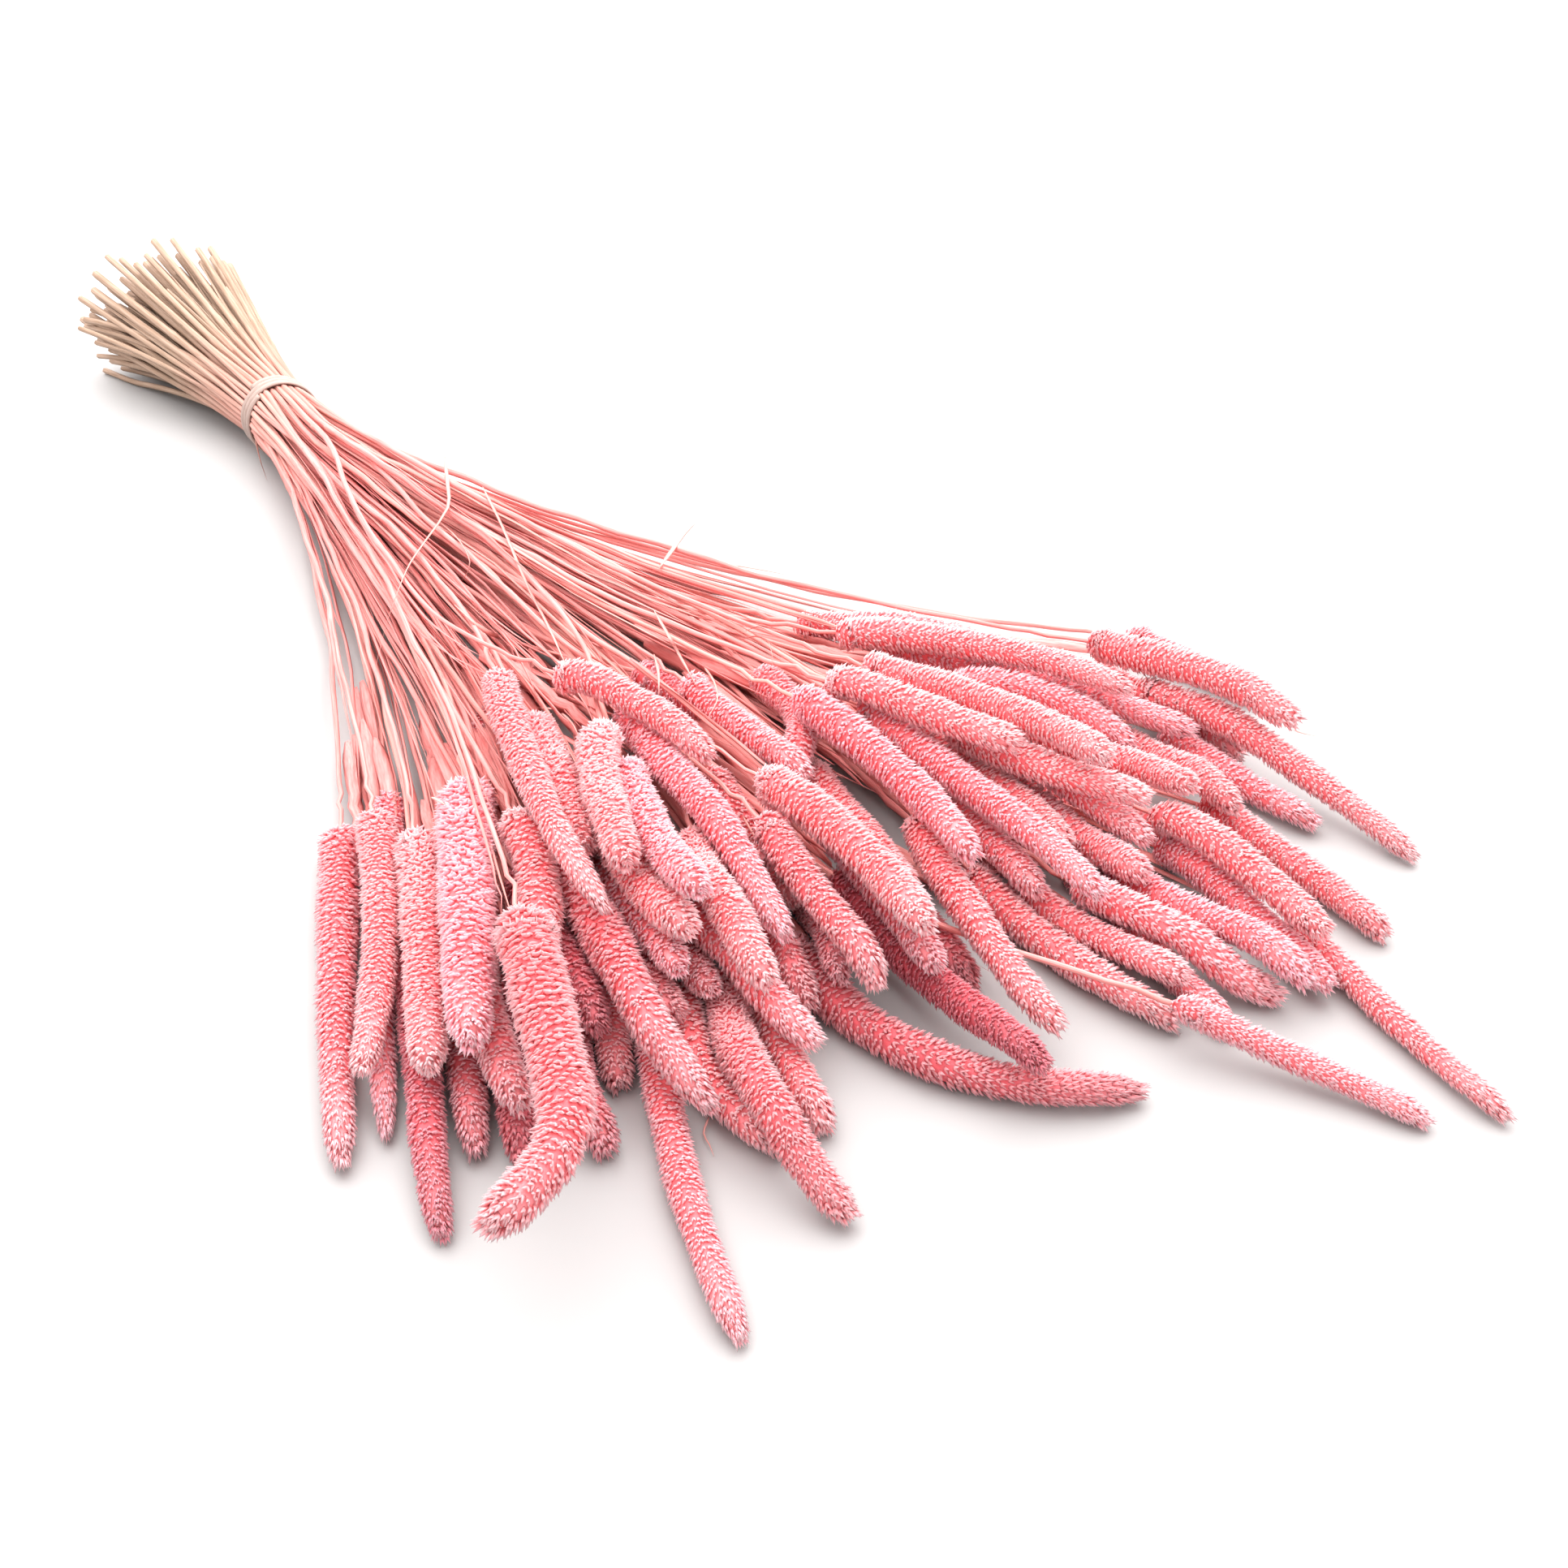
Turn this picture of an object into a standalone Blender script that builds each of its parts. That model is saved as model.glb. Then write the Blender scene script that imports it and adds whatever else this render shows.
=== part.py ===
"""A tied bunch of dried timothy grass lying on its side.

Seventy-eight stalks run through one wound band. Each stalk is one body: a cut end, a bare stem and a
cylindrical flower head whose surface is a lattice of standing points, larger than the real florets.
The bunch lies on a level surface with its cut ends towards -X and its flower heads towards +X. The
origin is the middle of the small flat under the band. Sizes here are in millimetres and degrees.
"""

import math
from collections import namedtuple

import bmesh
import bpy
import numpy as np

MM = 0.001
SEED = 41

# The band
BAND_BORE_RADIUS = 13.5
BAND_WALL = 1.3
BAND_TURNS = 3
BAND_TURN_WIDTH = 3.0
BAND_GROOVE = 0.3
BAND_FLAT_DEPTH = 0.4
BAND_AXIS_HEIGHT = BAND_BORE_RADIUS + BAND_WALL - BAND_FLAT_DEPTH

# The stems
STEM_RADIUS_AT_CUT = 1.15
STEM_RADIUS_IN_BAND = 1.0
STEM_RADIUS_AT_HEAD = 0.7
LANE_PITCH = 2.5
BAND_CLEARANCE = 0.3
HELD_HALF = 12.0
CUT_END_REACH = 124.0
CUT_END_SPREAD = 9.0
CUT_SIDE_WIDENING = 2.0
CUT_SIDE_RISE = 1.05
CUT_SIDE_LEAN = -7.0

# How two stalks of one node are sunk into each other inside the band
PAIRS = 19
PAIR_EVERY = 2
PAIR_HALF = 4.0
PAIR_DISTANCE = 1.2

# How finely a stalk is drawn
STEM_STEPS = 5
HEAD_STEPS = 9
RING_TURN = math.pi / 4

# How the stems spread: they leave the band nearer to its axis than their bearing, and swing outwards
LEAVE_SHARE = 0.45
SWING_SHARE = 1.6
FAR_SIDE = 12.0
ELBOW_SHARE = 0.3

# How the stalks settle against each other
GAP = 0.65
FLOOR_GAP = 0.15
SWEEPS = 420
CLEARING_SWEEPS = 160
SAG = 0.02

# One row for each stalk, from those on the surface to those on top. The bearing of the head's base from
# the band, its distance, the direction that the head sets out in, how far it curls to the left on its
# way, its length and diameter, and how high its base and its tip lie before the heap settles. A head with
# an elbow does all its turning round that share of its length.
Stalk = namedtuple(
    "Stalk", "bearing reach heading curl length diameter base_height tip_height elbow", defaults=(0.0,)
)

ON_THE_SURFACE = [
    (11.6, 381, -3, -19, 67, 7.9, 5, 3),
    (-11.4, 339, -23, 8, 60, 8.7, 5, 3),
    (-1.8, 358, -19, 7, 60, 8.7, 5, 3),
    (-14.6, 321, -24, 12, 90, 8.7, 5, 3),
    (-8.4, 343, -14, -11, 60, 8.7, 5, 3),
    (-7.2, 321, -18, -3, 64, 8.7, 5, 3),
    (14.2, 431, -13, 18, 77, 7.4, 5, 3),
    (-4.5, 359, -24, 30, 60, 8.9, 6, 3),
    (23.3, 366, -10, 24, 60, 9.2, 6, 3),
    (18.8, 392, 2, -5, 66, 9.2, 6, 3),
    (-12.8, 310, -21, 9, 82, 9.2, 6, 3),
    (-16.4, 268, -21, 3, 118, 9.6, 6, 3),
    (-12.7, 254, -18, -11, 127, 8.7, 6, 3),
    (0.3, 357, -19, 87, 104, 10.0, 6, 4),
    (9.4, 365, -9, 20, 75, 9.6, 7, 4),
    (-8.1, 370, -18, 11, 87, 7.8, 7, 4),
    (15.3, 349, 7, 6, 60, 8.9, 6, 5),
    (25.5, 336, -5, 24, 60, 9.2, 7, 4),
    (-2.9, 363, -44, 63, 83, 9.4, 8, 4),
    (14.6, 393, 9, -18, 65, 8.9, 6, 6),
    (5.5, 339, 2, -14, 60, 9.2, 7, 5),
    (7.4, 435, 38, -17, 60, 7.0, 11, 3),
    (30.1, 339, 14, 0, 50, 9.2, 8, 7),
    (10.0, 391, 3, 40, 60, 9.2, 12, 3),
    (-4.7, 320, -12, -3, 60, 8.7, 6, 11),
    (13.7, 384, -20, 36, 73, 9.2, 8, 9),
    (23.6, 355, 20, -21, 95, 9.4, 15, 3),
    (9.7, 374, 1, -7, 60, 8.6, 13, 5),
    (-8.1, 315, -5, -8, 60, 8.6, 12, 7),
]
IN_THE_HEAP = [
    (-3.8, 319, -3, -10, 60, 8.6, 12, 8),
    (-1.0, 222, -52, -5, 50, 7.9, 12, 9),
    (-7.4, 308, -21, 0, 63, 8.7, 8, 13),
    (3.0, 326, -25, 14, 67, 8.7, 7, 15),
    (21.9, 347, -1, -9, 66, 9.2, 10, 13),
    (0.4, 329, -16, 5, 60, 9.2, 12, 12),
    (-10.4, 313, -32, 25, 80, 9.2, 11, 13),
    (13.9, 345, 8, -17, 62, 9.2, 11, 15),
    (2.7, 354, -1, 2, 82, 9.4, 13, 14),
    (-14.3, 276, -15, -19, 95, 8.9, 15, 13),
    (7.6, 308, -11, 8, 68, 8.8, 16, 12),
    (2.9, 301, -11, 1, 60, 8.8, 16, 12),
    (-13.1, 292, -18, -4, 85, 10.4, 14, 15),
    (-7.3, 298, -15, 21, 110, 11.6, 16, 13),
    (-4.5, 342, -6, 27, 60, 8.7, 15, 15),
    (14.3, 390, 20, -31, 60, 9.2, 15, 15),
    (18.2, 254, 41, 18, 65, 9.0, 18, 12),
    (10.2, 332, 9, -24, 60, 9.2, 13, 18),
    (0.7, 340, -9, 5, 60, 8.3, 17, 15),
    (17.7, 312, 40, -26, 60, 9.0, 18, 14),
    (-5.2, 314, -1, -17, 60, 9.2, 14, 19),
    (-9.8, 284, -25, 1, 98, 13.0, 17, 16),
    (4.3, 248, 30, -8, 50, 9.2, 18, 17),
    (10.9, 271, -2, -41, 102, 9.2, 21, 15, 0.28),
    (24.7, 337, 14, -2, 70, 10.4, 19, 17),
    (4.5, 270, 1, 1, 60, 8.8, 18, 18),
]
ON_TOP = [
    (13.5, 338, 17, -8, 60, 9.2, 18, 19),
    (18.8, 330, 15, -39, 76, 9.2, 15, 23),
    (18.9, 284, 33, -8, 98, 9.8, 21, 19),
    (7.2, 350, -23, 26, 80, 9.2, 20, 20),
    (-1.4, 327, -28, 27, 65, 9.2, 18, 24),
    (1.1, 272, -16, 14, 105, 9.2, 20, 23),
    (-7.9, 306, -8, -34, 60, 9.6, 24, 21),
    (-4.5, 260, -15, -5, 71, 10.0, 21, 24),
    (-4.6, 313, -17, 15, 60, 9.4, 21, 25),
    (3.3, 342, -1, -9, 60, 9.2, 24, 22),
    (13.0, 321, 19, -41, 67, 9.2, 22, 25),
    (16.6, 276, 50, -34, 90, 9.6, 21, 26),
    (12.7, 335, 12, 21, 60, 9.2, 24, 26),
    (-4.6, 242, -17, 10, 117, 8.9, 27, 28),
    (7.9, 302, 13, -28, 80, 10.0, 25, 31),
    (10.9, 311, 3, -3, 96, 9.8, 29, 29),
    (10.1, 303, 23, 1, 60, 9.4, 29, 31),
    (-2.4, 298, -25, 21, 77, 9.6, 27, 34),
    (2.3, 327, 11, -23, 71, 10.0, 30, 31),
    (13.0, 301, 24, -23, 84, 9.8, 29, 33),
    (-2.1, 287, -32, 15, 68, 9.6, 30, 33),
    (-10.5, 354, -17, -52, 91, 12.0, 32, 39, 0.72),
    (-2.3, 259, 29, -32, 60, 8.1, 33, 41),
]
STALKS = [Stalk(*row) for row in ON_THE_SURFACE + IN_THE_HEAP + ON_TOP]

# The points of a stalk that the band holds
HELD = 2


def clear_scene():
    for item in list(bpy.data.objects):
        bpy.data.objects.remove(item, do_unlink=True)


def direction(degrees):
    """A unit vector in the plan."""
    return np.array([math.cos(math.radians(degrees)), math.sin(math.radians(degrees))])


def lane_rows():
    """Where the stems pass through the band, as level rows of (y, z) from the lowest row up."""
    room = BAND_BORE_RADIUS - BAND_CLEARANCE - STEM_RADIUS_IN_BAND
    height = -room
    rows = []
    while height <= room:
        half = math.sqrt(room * room - height * height)
        count = int(2 * half / LANE_PITCH) + 1
        rows.append([(LANE_PITCH * (i - (count - 1) / 2), BAND_AXIS_HEIGHT + height) for i in range(count)])
        height += LANE_PITCH
    return rows


def share_out_lanes(stalks):
    """Gives each stalk a lane: low stalks take low rows, and each row is filled from right to left.

    It returns the stalks in lane order, their lanes and the pairs that share a node.
    """
    ordered = []
    lanes = []
    neighbours = []
    first = 0
    for row in lane_rows():
        group = sorted(stalks[first : first + len(row)], key=lambda stalk: stalk.bearing)
        spare = (len(row) - len(group)) * LANE_PITCH / 2
        neighbours += [(first + i, first + i + 1) for i in range(0, len(group) - 1, 2)]
        ordered += group
        lanes += [(y + spare, z) for y, z in row[: len(group)]]
        first += len(row)
    pairs = [pair for number, pair in enumerate(neighbours) if number % PAIR_EVERY == 1][:PAIRS]
    return ordered, lanes, pairs


def stem_plan(start, end, leave, arrive):
    """A smooth stem in the plan, as a cubic curve that leaves and arrives in the given directions."""
    pull = 0.9 * np.linalg.norm(end - start)
    t = np.linspace(0, 1, STEM_STEPS + 1)[:, None]
    return (
        (2 * t**3 - 3 * t**2 + 1) * start
        + (t**3 - 2 * t**2 + t) * pull * leave
        + (3 * t**2 - 2 * t**3) * end
        + (t**3 - t**2) * pull * arrive
    )


def arriving(stalk):
    """The direction in which a stem reaches its head. On the far side it swings out further than the head."""
    if stalk.bearing < FAR_SIDE:
        return stalk.heading
    return max(stalk.heading, SWING_SHARE * stalk.bearing)


def turned(stalk, share):
    """How much of its curl a head has made at a share of its length."""
    if not stalk.elbow:
        return share
    return min(max((share - stalk.elbow) / ELBOW_SHARE + 0.5, 0.0), 1.0)


def laid_route(stalk, lane):
    """The points and radii of one stalk as it is laid down, before the heap settles."""
    y, z = lane
    base = stalk.reach * direction(stalk.bearing)
    stem = stem_plan(
        np.array([HELD_HALF, y]),
        base,
        direction(LEAVE_SHARE * stalk.bearing),
        direction(arriving(stalk)),
    )
    step = stalk.length / HEAD_STEPS
    head = [base]
    for i in range(HEAD_STEPS):
        so_far = turned(stalk, (i + 0.5) / HEAD_STEPS)
        head.append(head[-1] + step * direction(stalk.heading + stalk.curl * so_far))
    plan = np.vstack([[[-HELD_HALF, y]], stem, head[1:]])
    run = np.concatenate([[0], np.cumsum(np.linalg.norm(np.diff(plan, axis=0), axis=1))])
    leave, reach = run[1], run[HELD + STEM_STEPS - 1]
    heights = np.interp(
        run,
        [0, leave, leave + 0.6 * (reach - leave), reach, run[-1]],
        [z, z, 0.35 * z + 0.65 * stalk.base_height, stalk.base_height, stalk.tip_height],
    )
    along = np.linspace(0, 1, HEAD_STEPS + 1)[1:]
    radii = np.concatenate(
        [
            [STEM_RADIUS_IN_BAND],
            np.linspace(STEM_RADIUS_IN_BAND, STEM_RADIUS_AT_HEAD, STEM_STEPS + 1),
            head_radius(stalk, along),
        ]
    )
    return np.column_stack([plan, heights]), radii


def head_radius(stalk, along):
    """The radius of a head: it swells just past its base and closes over the last fifth of it."""
    swelling = np.minimum(0.6 + 6 * along, 1.0)
    closing = np.clip(0.5 + 5 * (1 - along), 0, 1.0)
    return 0.5 * stalk.diameter * swelling * closing


def nearest_on_segments(a, b, c, d):
    """How far along AB and CD their nearest points lie, from 0 to 1, and the vector between those."""
    u, v, w = b - a, d - c, a - c
    uu, uv, vv = (u * u).sum(1), (u * v).sum(1), (v * v).sum(1)
    uw, vw = (u * w).sum(1), (v * w).sum(1)
    spread = uu * vv - uv * uv
    s = np.where(spread > 1e-9 * uu * vv, (uv * vw - vv * uw) / np.maximum(spread, 1e-12), 0.5)
    t = np.clip((uv * np.clip(s, 0, 1) + vw) / vv, 0, 1)
    s = np.clip((uv * t - uw) / uu, 0, 1)
    return s, t, w + u * s[:, None] - v * t[:, None]


def close_pairs(points, radii):
    """The segments of different stalks that lie near enough to touch soon."""
    count, length, _ = points.shape
    a = points[:, :-1].reshape(-1, 3)
    b = points[:, 1:].reshape(-1, 3)
    owner = np.repeat(np.arange(count), length - 1)
    place = np.tile(np.arange(length - 1), count)
    middle = (a + b) / 2
    reach = np.linalg.norm(b - a, axis=1) / 2 + radii + 4
    apart = ((middle[:, None, :] - middle[None, :, :]) ** 2).sum(2)
    first, second = np.where(np.triu(apart < (reach[:, None] + reach[None, :]) ** 2, 1))
    keep = (owner[first] != owner[second]) & (place[first] + place[second] > 0)
    first, second = first[keep], second[keep]
    _, _, between = nearest_on_segments(a[first], b[first], a[second], b[second])
    near = np.linalg.norm(between, axis=1) < radii[first] + radii[second] + 5
    return first[near], second[near]


def push_apart(points, segment_radii, first, second):
    """How far each point moves so that stalks stay a gap apart, and the deepest overlap found."""
    count, length, _ = points.shape
    a = points[:, :-1].reshape(-1, 3)
    b = points[:, 1:].reshape(-1, 3)
    s, t, between = nearest_on_segments(a[first], b[first], a[second], b[second])
    distance = np.linalg.norm(between, axis=1)
    depth = segment_radii[first] + segment_radii[second] + GAP - distance
    hit = depth > 0
    if not hit.any():
        return np.zeros_like(points), 0.0
    s, t, depth = s[hit], t[hit], depth[hit]
    away = between[hit] / np.maximum(distance[hit], 1e-6)[:, None]
    # Each segment has one point fewer than its stalk, so a stalk's number shifts its segments' numbers
    start_one = first[hit] + first[hit] // (length - 1)
    start_two = second[hit] + second[hit] // (length - 1)
    moved = np.zeros((count * length, 3))
    weight = np.zeros(count * length)
    for start, share, side in ((start_one, s, 1.0), (start_two, t, -1.0)):
        whole = (1 - share) ** 2 + share**2
        for offset, part in ((0, 1 - share), (1, share)):
            step = (side * 0.5 * depth * part / whole)[:, None] * away
            for axis in range(3):
                moved[:, axis] += np.bincount(start + offset, step[:, axis], count * length)
            weight += np.bincount(start + offset, part, count * length)
    moved /= np.maximum(weight, 1.0)[:, None]
    return moved.reshape(points.shape), float(depth.max())


def settle(points, radii):
    """Lets the heap sag until the stalks lie on the surface and on each other, without touching."""
    laid = points.copy()
    segment_radii = np.maximum(radii[:, :-1], radii[:, 1:]).reshape(-1)
    lengths = np.linalg.norm(np.diff(laid, axis=1), axis=2)
    bend = laid[:, 1:-1] - 0.5 * (laid[:, :-2] + laid[:, 2:])
    deepest = 0.0
    for sweep in range(SWEEPS + CLEARING_SWEEPS):
        sagging = sweep < SWEEPS
        if sweep % 10 == 0:
            first, second = close_pairs(points, segment_radii)
        if sagging:
            points[:, HELD:, 2] -= SAG
            points[:, HELD:, :2] += 0.01 * (laid[:, HELD:, :2] - points[:, HELD:, :2])
        stiffness = 0.25 if sagging else 0.05
        now = points[:, 1:-1] - 0.5 * (points[:, :-2] + points[:, 2:])
        change = now - bend
        change[:, :, 2] = 0.6 * now[:, :, 2]
        points[:, HELD:-1] -= stiffness * change[:, HELD - 1 :]
        spans = np.diff(points, axis=1)
        now_long = np.linalg.norm(spans, axis=2)
        stretch = (0.45 * (now_long - lengths) / now_long)[:, :, None] * spans
        points[:, HELD:-1] += stretch[:, HELD:]
        points[:, HELD:] -= stretch[:, HELD - 1 :]
        moved, deepest = push_apart(points, segment_radii, first, second)
        points[:, HELD:] += 1.4 * moved[:, HELD:]
        points[:, HELD:, 2] = np.maximum(points[:, HELD:, 2], radii[:, HELD:] + FLOOR_GAP)
        points = np.round(points, 7)
    print(f"smallest gap between settled stalks {GAP - deepest:.2f} mm")
    return points


def cut_end(lane, random):
    """The end of a stem behind the band, where the bunch widens and its lowest stems reach the surface."""
    y, z = lane
    lowest = BAND_AXIS_HEIGHT - BAND_BORE_RADIUS + BAND_CLEARANCE + STEM_RADIUS_IN_BAND
    resting = STEM_RADIUS_AT_CUT + FLOOR_GAP
    reach = CUT_END_REACH + random.uniform(-CUT_END_SPREAD, CUT_END_SPREAD)
    share = (reach - HELD_HALF) / (CUT_END_REACH + CUT_END_SPREAD - HELD_HALF)
    sunk = (lowest - resting) * share
    return (
        -reach,
        y * (1 + CUT_SIDE_WIDENING * share) + CUT_SIDE_LEAN * share,
        z + (z - lowest) * CUT_SIDE_RISE * share - sunk,
    )


def rings_of(stalk, route, lane, shift, random):
    """The middle, radius and turn of every ring of a stalk, from its cut end to the tip of its head."""
    points = [cut_end(lane, random), tuple(route[0])]
    radii = [STEM_RADIUS_AT_CUT, STEM_RADIUS_IN_BAND]
    if shift:
        for x in (-PAIR_HALF, PAIR_HALF):
            points.append((x, lane[0] + shift, lane[1]))
            radii.append(STEM_RADIUS_IN_BAND)
    stem = np.linspace(STEM_RADIUS_IN_BAND, STEM_RADIUS_AT_HEAD, STEM_STEPS + 1)
    for i in range(STEM_STEPS + 1):
        points.append(tuple(route[HELD - 1 + i]))
        radii.append(float(stem[i]))
    turns = [0.0] * len(points)
    base = HELD - 1 + STEM_STEPS
    for i in range(1, 2 * HEAD_STEPS + 1):
        low = base + (i - 1) // 2
        middle = 0.5 * (route[low] + route[low + 1]) if i % 2 else route[low + 1]
        along = i / (2 * HEAD_STEPS)
        points.append(tuple(middle))
        radii.append(float(head_radius(stalk, along)) * random.uniform(0.92, 1.0))
        turns.append(i * RING_TURN)
    return points, radii, turns


def material(name, colour, roughness):
    made = bpy.data.materials.new(name)
    made.use_nodes = True
    shader = made.node_tree.nodes["Principled BSDF"]
    shader.inputs["Base Color"].default_value = (*colour, 1.0)
    shader.inputs["Roughness"].default_value = roughness
    shader.inputs["Metallic"].default_value = 0.0
    made.diffuse_color = (*colour, 1.0)
    return made


def stalk_curve(name, points, radii, turns, collection):
    """A four-sided tube through the rings. Each ring of a head is turned half a side from the last."""
    curve = bpy.data.curves.new(name, "CURVE")
    curve.dimensions = "3D"
    curve.bevel_depth = MM
    curve.bevel_resolution = 0
    curve.use_fill_caps = True
    spline = curve.splines.new("POLY")
    spline.points.add(len(points) - 1)
    for knot, point, radius, turn in zip(spline.points, points, radii, turns):
        knot.co = (point[0] * MM, point[1] * MM, point[2] * MM, 1.0)
        knot.radius = radius
        knot.tilt = turn
    item = bpy.data.objects.new(name, curve)
    collection.objects.link(item)
    return item


def as_mesh(item, collection):
    """The same stalk as a closed mesh, in place of its curve."""
    bpy.context.view_layer.update()
    graph = bpy.context.evaluated_depsgraph_get()
    mesh = bpy.data.meshes.new_from_object(item.evaluated_get(graph))
    name = item.name
    bpy.data.objects.remove(item, do_unlink=True)
    shape = bmesh.new()
    shape.from_mesh(mesh)
    bmesh.ops.remove_doubles(shape, verts=shape.verts, dist=0.00001)
    bmesh.ops.recalc_face_normals(shape, faces=shape.faces)
    shape.to_mesh(mesh)
    shape.free()
    made = bpy.data.objects.new(name, mesh)
    collection.objects.link(made)
    return made


def joined(one, other):
    """Two stalks as one body, where their stems are sunk into each other inside the band."""
    union = one.modifiers.new("with its neighbour", "BOOLEAN")
    union.operation = "UNION"
    union.solver = "MANIFOLD"
    union.object = other
    bpy.context.view_layer.update()
    graph = bpy.context.evaluated_depsgraph_get()
    mesh = bpy.data.meshes.new_from_object(one.evaluated_get(graph))
    one.modifiers.clear()
    one.data = mesh
    bpy.data.objects.remove(other, do_unlink=True)
    return one


def make_band(collection):
    """The wound band: a turned wall with a rounded ridge for each turn, flattened where it rests."""
    inner = BAND_BORE_RADIUS
    outer = BAND_BORE_RADIUS + BAND_WALL
    half = BAND_TURNS * BAND_TURN_WIDTH / 2
    profile = [(inner, -half), (outer - BAND_GROOVE, -half)]
    for turn in range(BAND_TURNS):
        left = -half + turn * BAND_TURN_WIDTH
        profile.append((outer, left + 0.3 * BAND_TURN_WIDTH))
        profile.append((outer, left + 0.7 * BAND_TURN_WIDTH))
        profile.append((outer - BAND_GROOVE, left + BAND_TURN_WIDTH))
    profile.append((inner, half))
    shape = bmesh.new()
    knots = [shape.verts.new((x * MM, 0.0, radius * MM)) for radius, x in profile]
    for i, knot in enumerate(knots):
        shape.edges.new((knot, knots[(i + 1) % len(knots)]))
    mesh = bpy.data.meshes.new("tie")
    shape.to_mesh(mesh)
    shape.free()
    band = bpy.data.objects.new("tie", mesh)
    collection.objects.link(band)
    turned = band.modifiers.new("turned", "SCREW")
    turned.axis = "X"
    turned.steps = 28
    turned.render_steps = 28
    turned.use_merge_vertices = True
    turned.merge_threshold = 0.0001
    turned.use_normal_calculate = True
    bpy.context.view_layer.update()
    graph = bpy.context.evaluated_depsgraph_get()
    ring = bpy.data.meshes.new_from_object(band.evaluated_get(graph))
    band.modifiers.clear()
    shape = bmesh.new()
    shape.from_mesh(ring)
    for knot in shape.verts:
        knot.co.z += BAND_AXIS_HEIGHT * MM
    bmesh.ops.remove_doubles(shape, verts=shape.verts, dist=0.00001)
    flat = bmesh.ops.bisect_plane(
        shape,
        geom=shape.verts[:] + shape.edges[:] + shape.faces[:],
        plane_co=(0, 0, 0),
        plane_no=(0, 0, -1),
        clear_outer=True,
    )
    rim = [edge for edge in flat["geom_cut"] if isinstance(edge, bmesh.types.BMEdge)]
    bmesh.ops.holes_fill(shape, edges=rim, sides=0)
    bmesh.ops.recalc_face_normals(shape, faces=shape.faces)
    shape.to_mesh(ring)
    shape.free()
    band.data = ring
    return band


def main():
    clear_scene()
    random = np.random.default_rng(SEED)
    collection = bpy.data.collections.new("dried timothy grass")
    bpy.context.scene.collection.children.link(collection)
    straw = material("pink dried grass", (0.94, 0.52, 0.50), 0.8)
    elastic = material("pale band", (0.80, 0.74, 0.66), 0.5)

    band = make_band(collection)
    band.data.materials.append(elastic)

    stalks, lanes, pairs = share_out_lanes(STALKS)
    laid = [laid_route(stalk, lane) for stalk, lane in zip(stalks, lanes)]
    routes = settle(np.array([points for points, _ in laid]), np.array([radii for _, radii in laid]))
    shifts = [0.0] * len(stalks)
    for right, left in pairs:
        shifts[right] = (LANE_PITCH - PAIR_DISTANCE) / 2
        shifts[left] = -shifts[right]
    made = []
    for number, stalk in enumerate(stalks):
        rings = rings_of(stalk, routes[number], lanes[number], shifts[number], random)
        made.append(stalk_curve(f"stalk_{number + 1:02d}", *rings, collection))
    for right, left in pairs:
        name = f"stalks_{right + 1:02d}_{left + 1:02d}"
        made[right] = joined(as_mesh(made[right], collection), as_mesh(made[left], collection))
        made[right].name = name
        made[left] = None
    for item in made:
        if item is not None:
            item.data.materials.clear()
            item.data.materials.append(straw)


main()
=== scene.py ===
# %% [markdown]
# # A bunch of pink dried timothy grass
#
# Timothy is a meadow grass with a long, dense, cylindrical head on a thin bare stem. This bunch is dyed
# pink, dried, tied near its cut ends and laid on a white table. The lesson dresses a plain frame of the
# bunch: each coarse stalk of the frame is replaced by a fine one that follows the same line.

# %% Load the frame
import math
import bmesh
import bpy
import numpy as np
from mathutils import Matrix, Vector


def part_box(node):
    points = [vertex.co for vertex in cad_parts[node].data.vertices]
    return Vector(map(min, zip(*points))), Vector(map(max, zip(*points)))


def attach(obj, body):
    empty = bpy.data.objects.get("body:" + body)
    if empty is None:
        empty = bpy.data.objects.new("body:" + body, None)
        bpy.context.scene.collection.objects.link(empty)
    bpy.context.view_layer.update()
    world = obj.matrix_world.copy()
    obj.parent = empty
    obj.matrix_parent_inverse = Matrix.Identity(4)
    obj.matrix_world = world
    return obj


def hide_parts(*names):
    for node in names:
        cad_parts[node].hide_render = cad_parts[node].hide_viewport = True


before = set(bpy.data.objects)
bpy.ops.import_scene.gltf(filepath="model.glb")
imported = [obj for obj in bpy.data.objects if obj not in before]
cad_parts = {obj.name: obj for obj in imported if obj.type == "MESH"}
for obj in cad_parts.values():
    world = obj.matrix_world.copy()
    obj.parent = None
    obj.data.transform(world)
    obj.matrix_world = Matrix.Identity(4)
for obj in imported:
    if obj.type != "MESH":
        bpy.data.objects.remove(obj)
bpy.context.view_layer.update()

MM = 0.001
random = np.random.default_rng(7)

# %% [markdown]
# ## Table and light
#
# The photograph is bright: a white table, a large soft light from the far side and only soft shadows on
# the near side of the heap. A wide pale plane, a sky that is brighter on the far side and one big area
# lamp give that. A picture of a room could light it too, but a sky worked out from its direction needs no
# file. The table is grey, because so much light makes it white.

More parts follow.
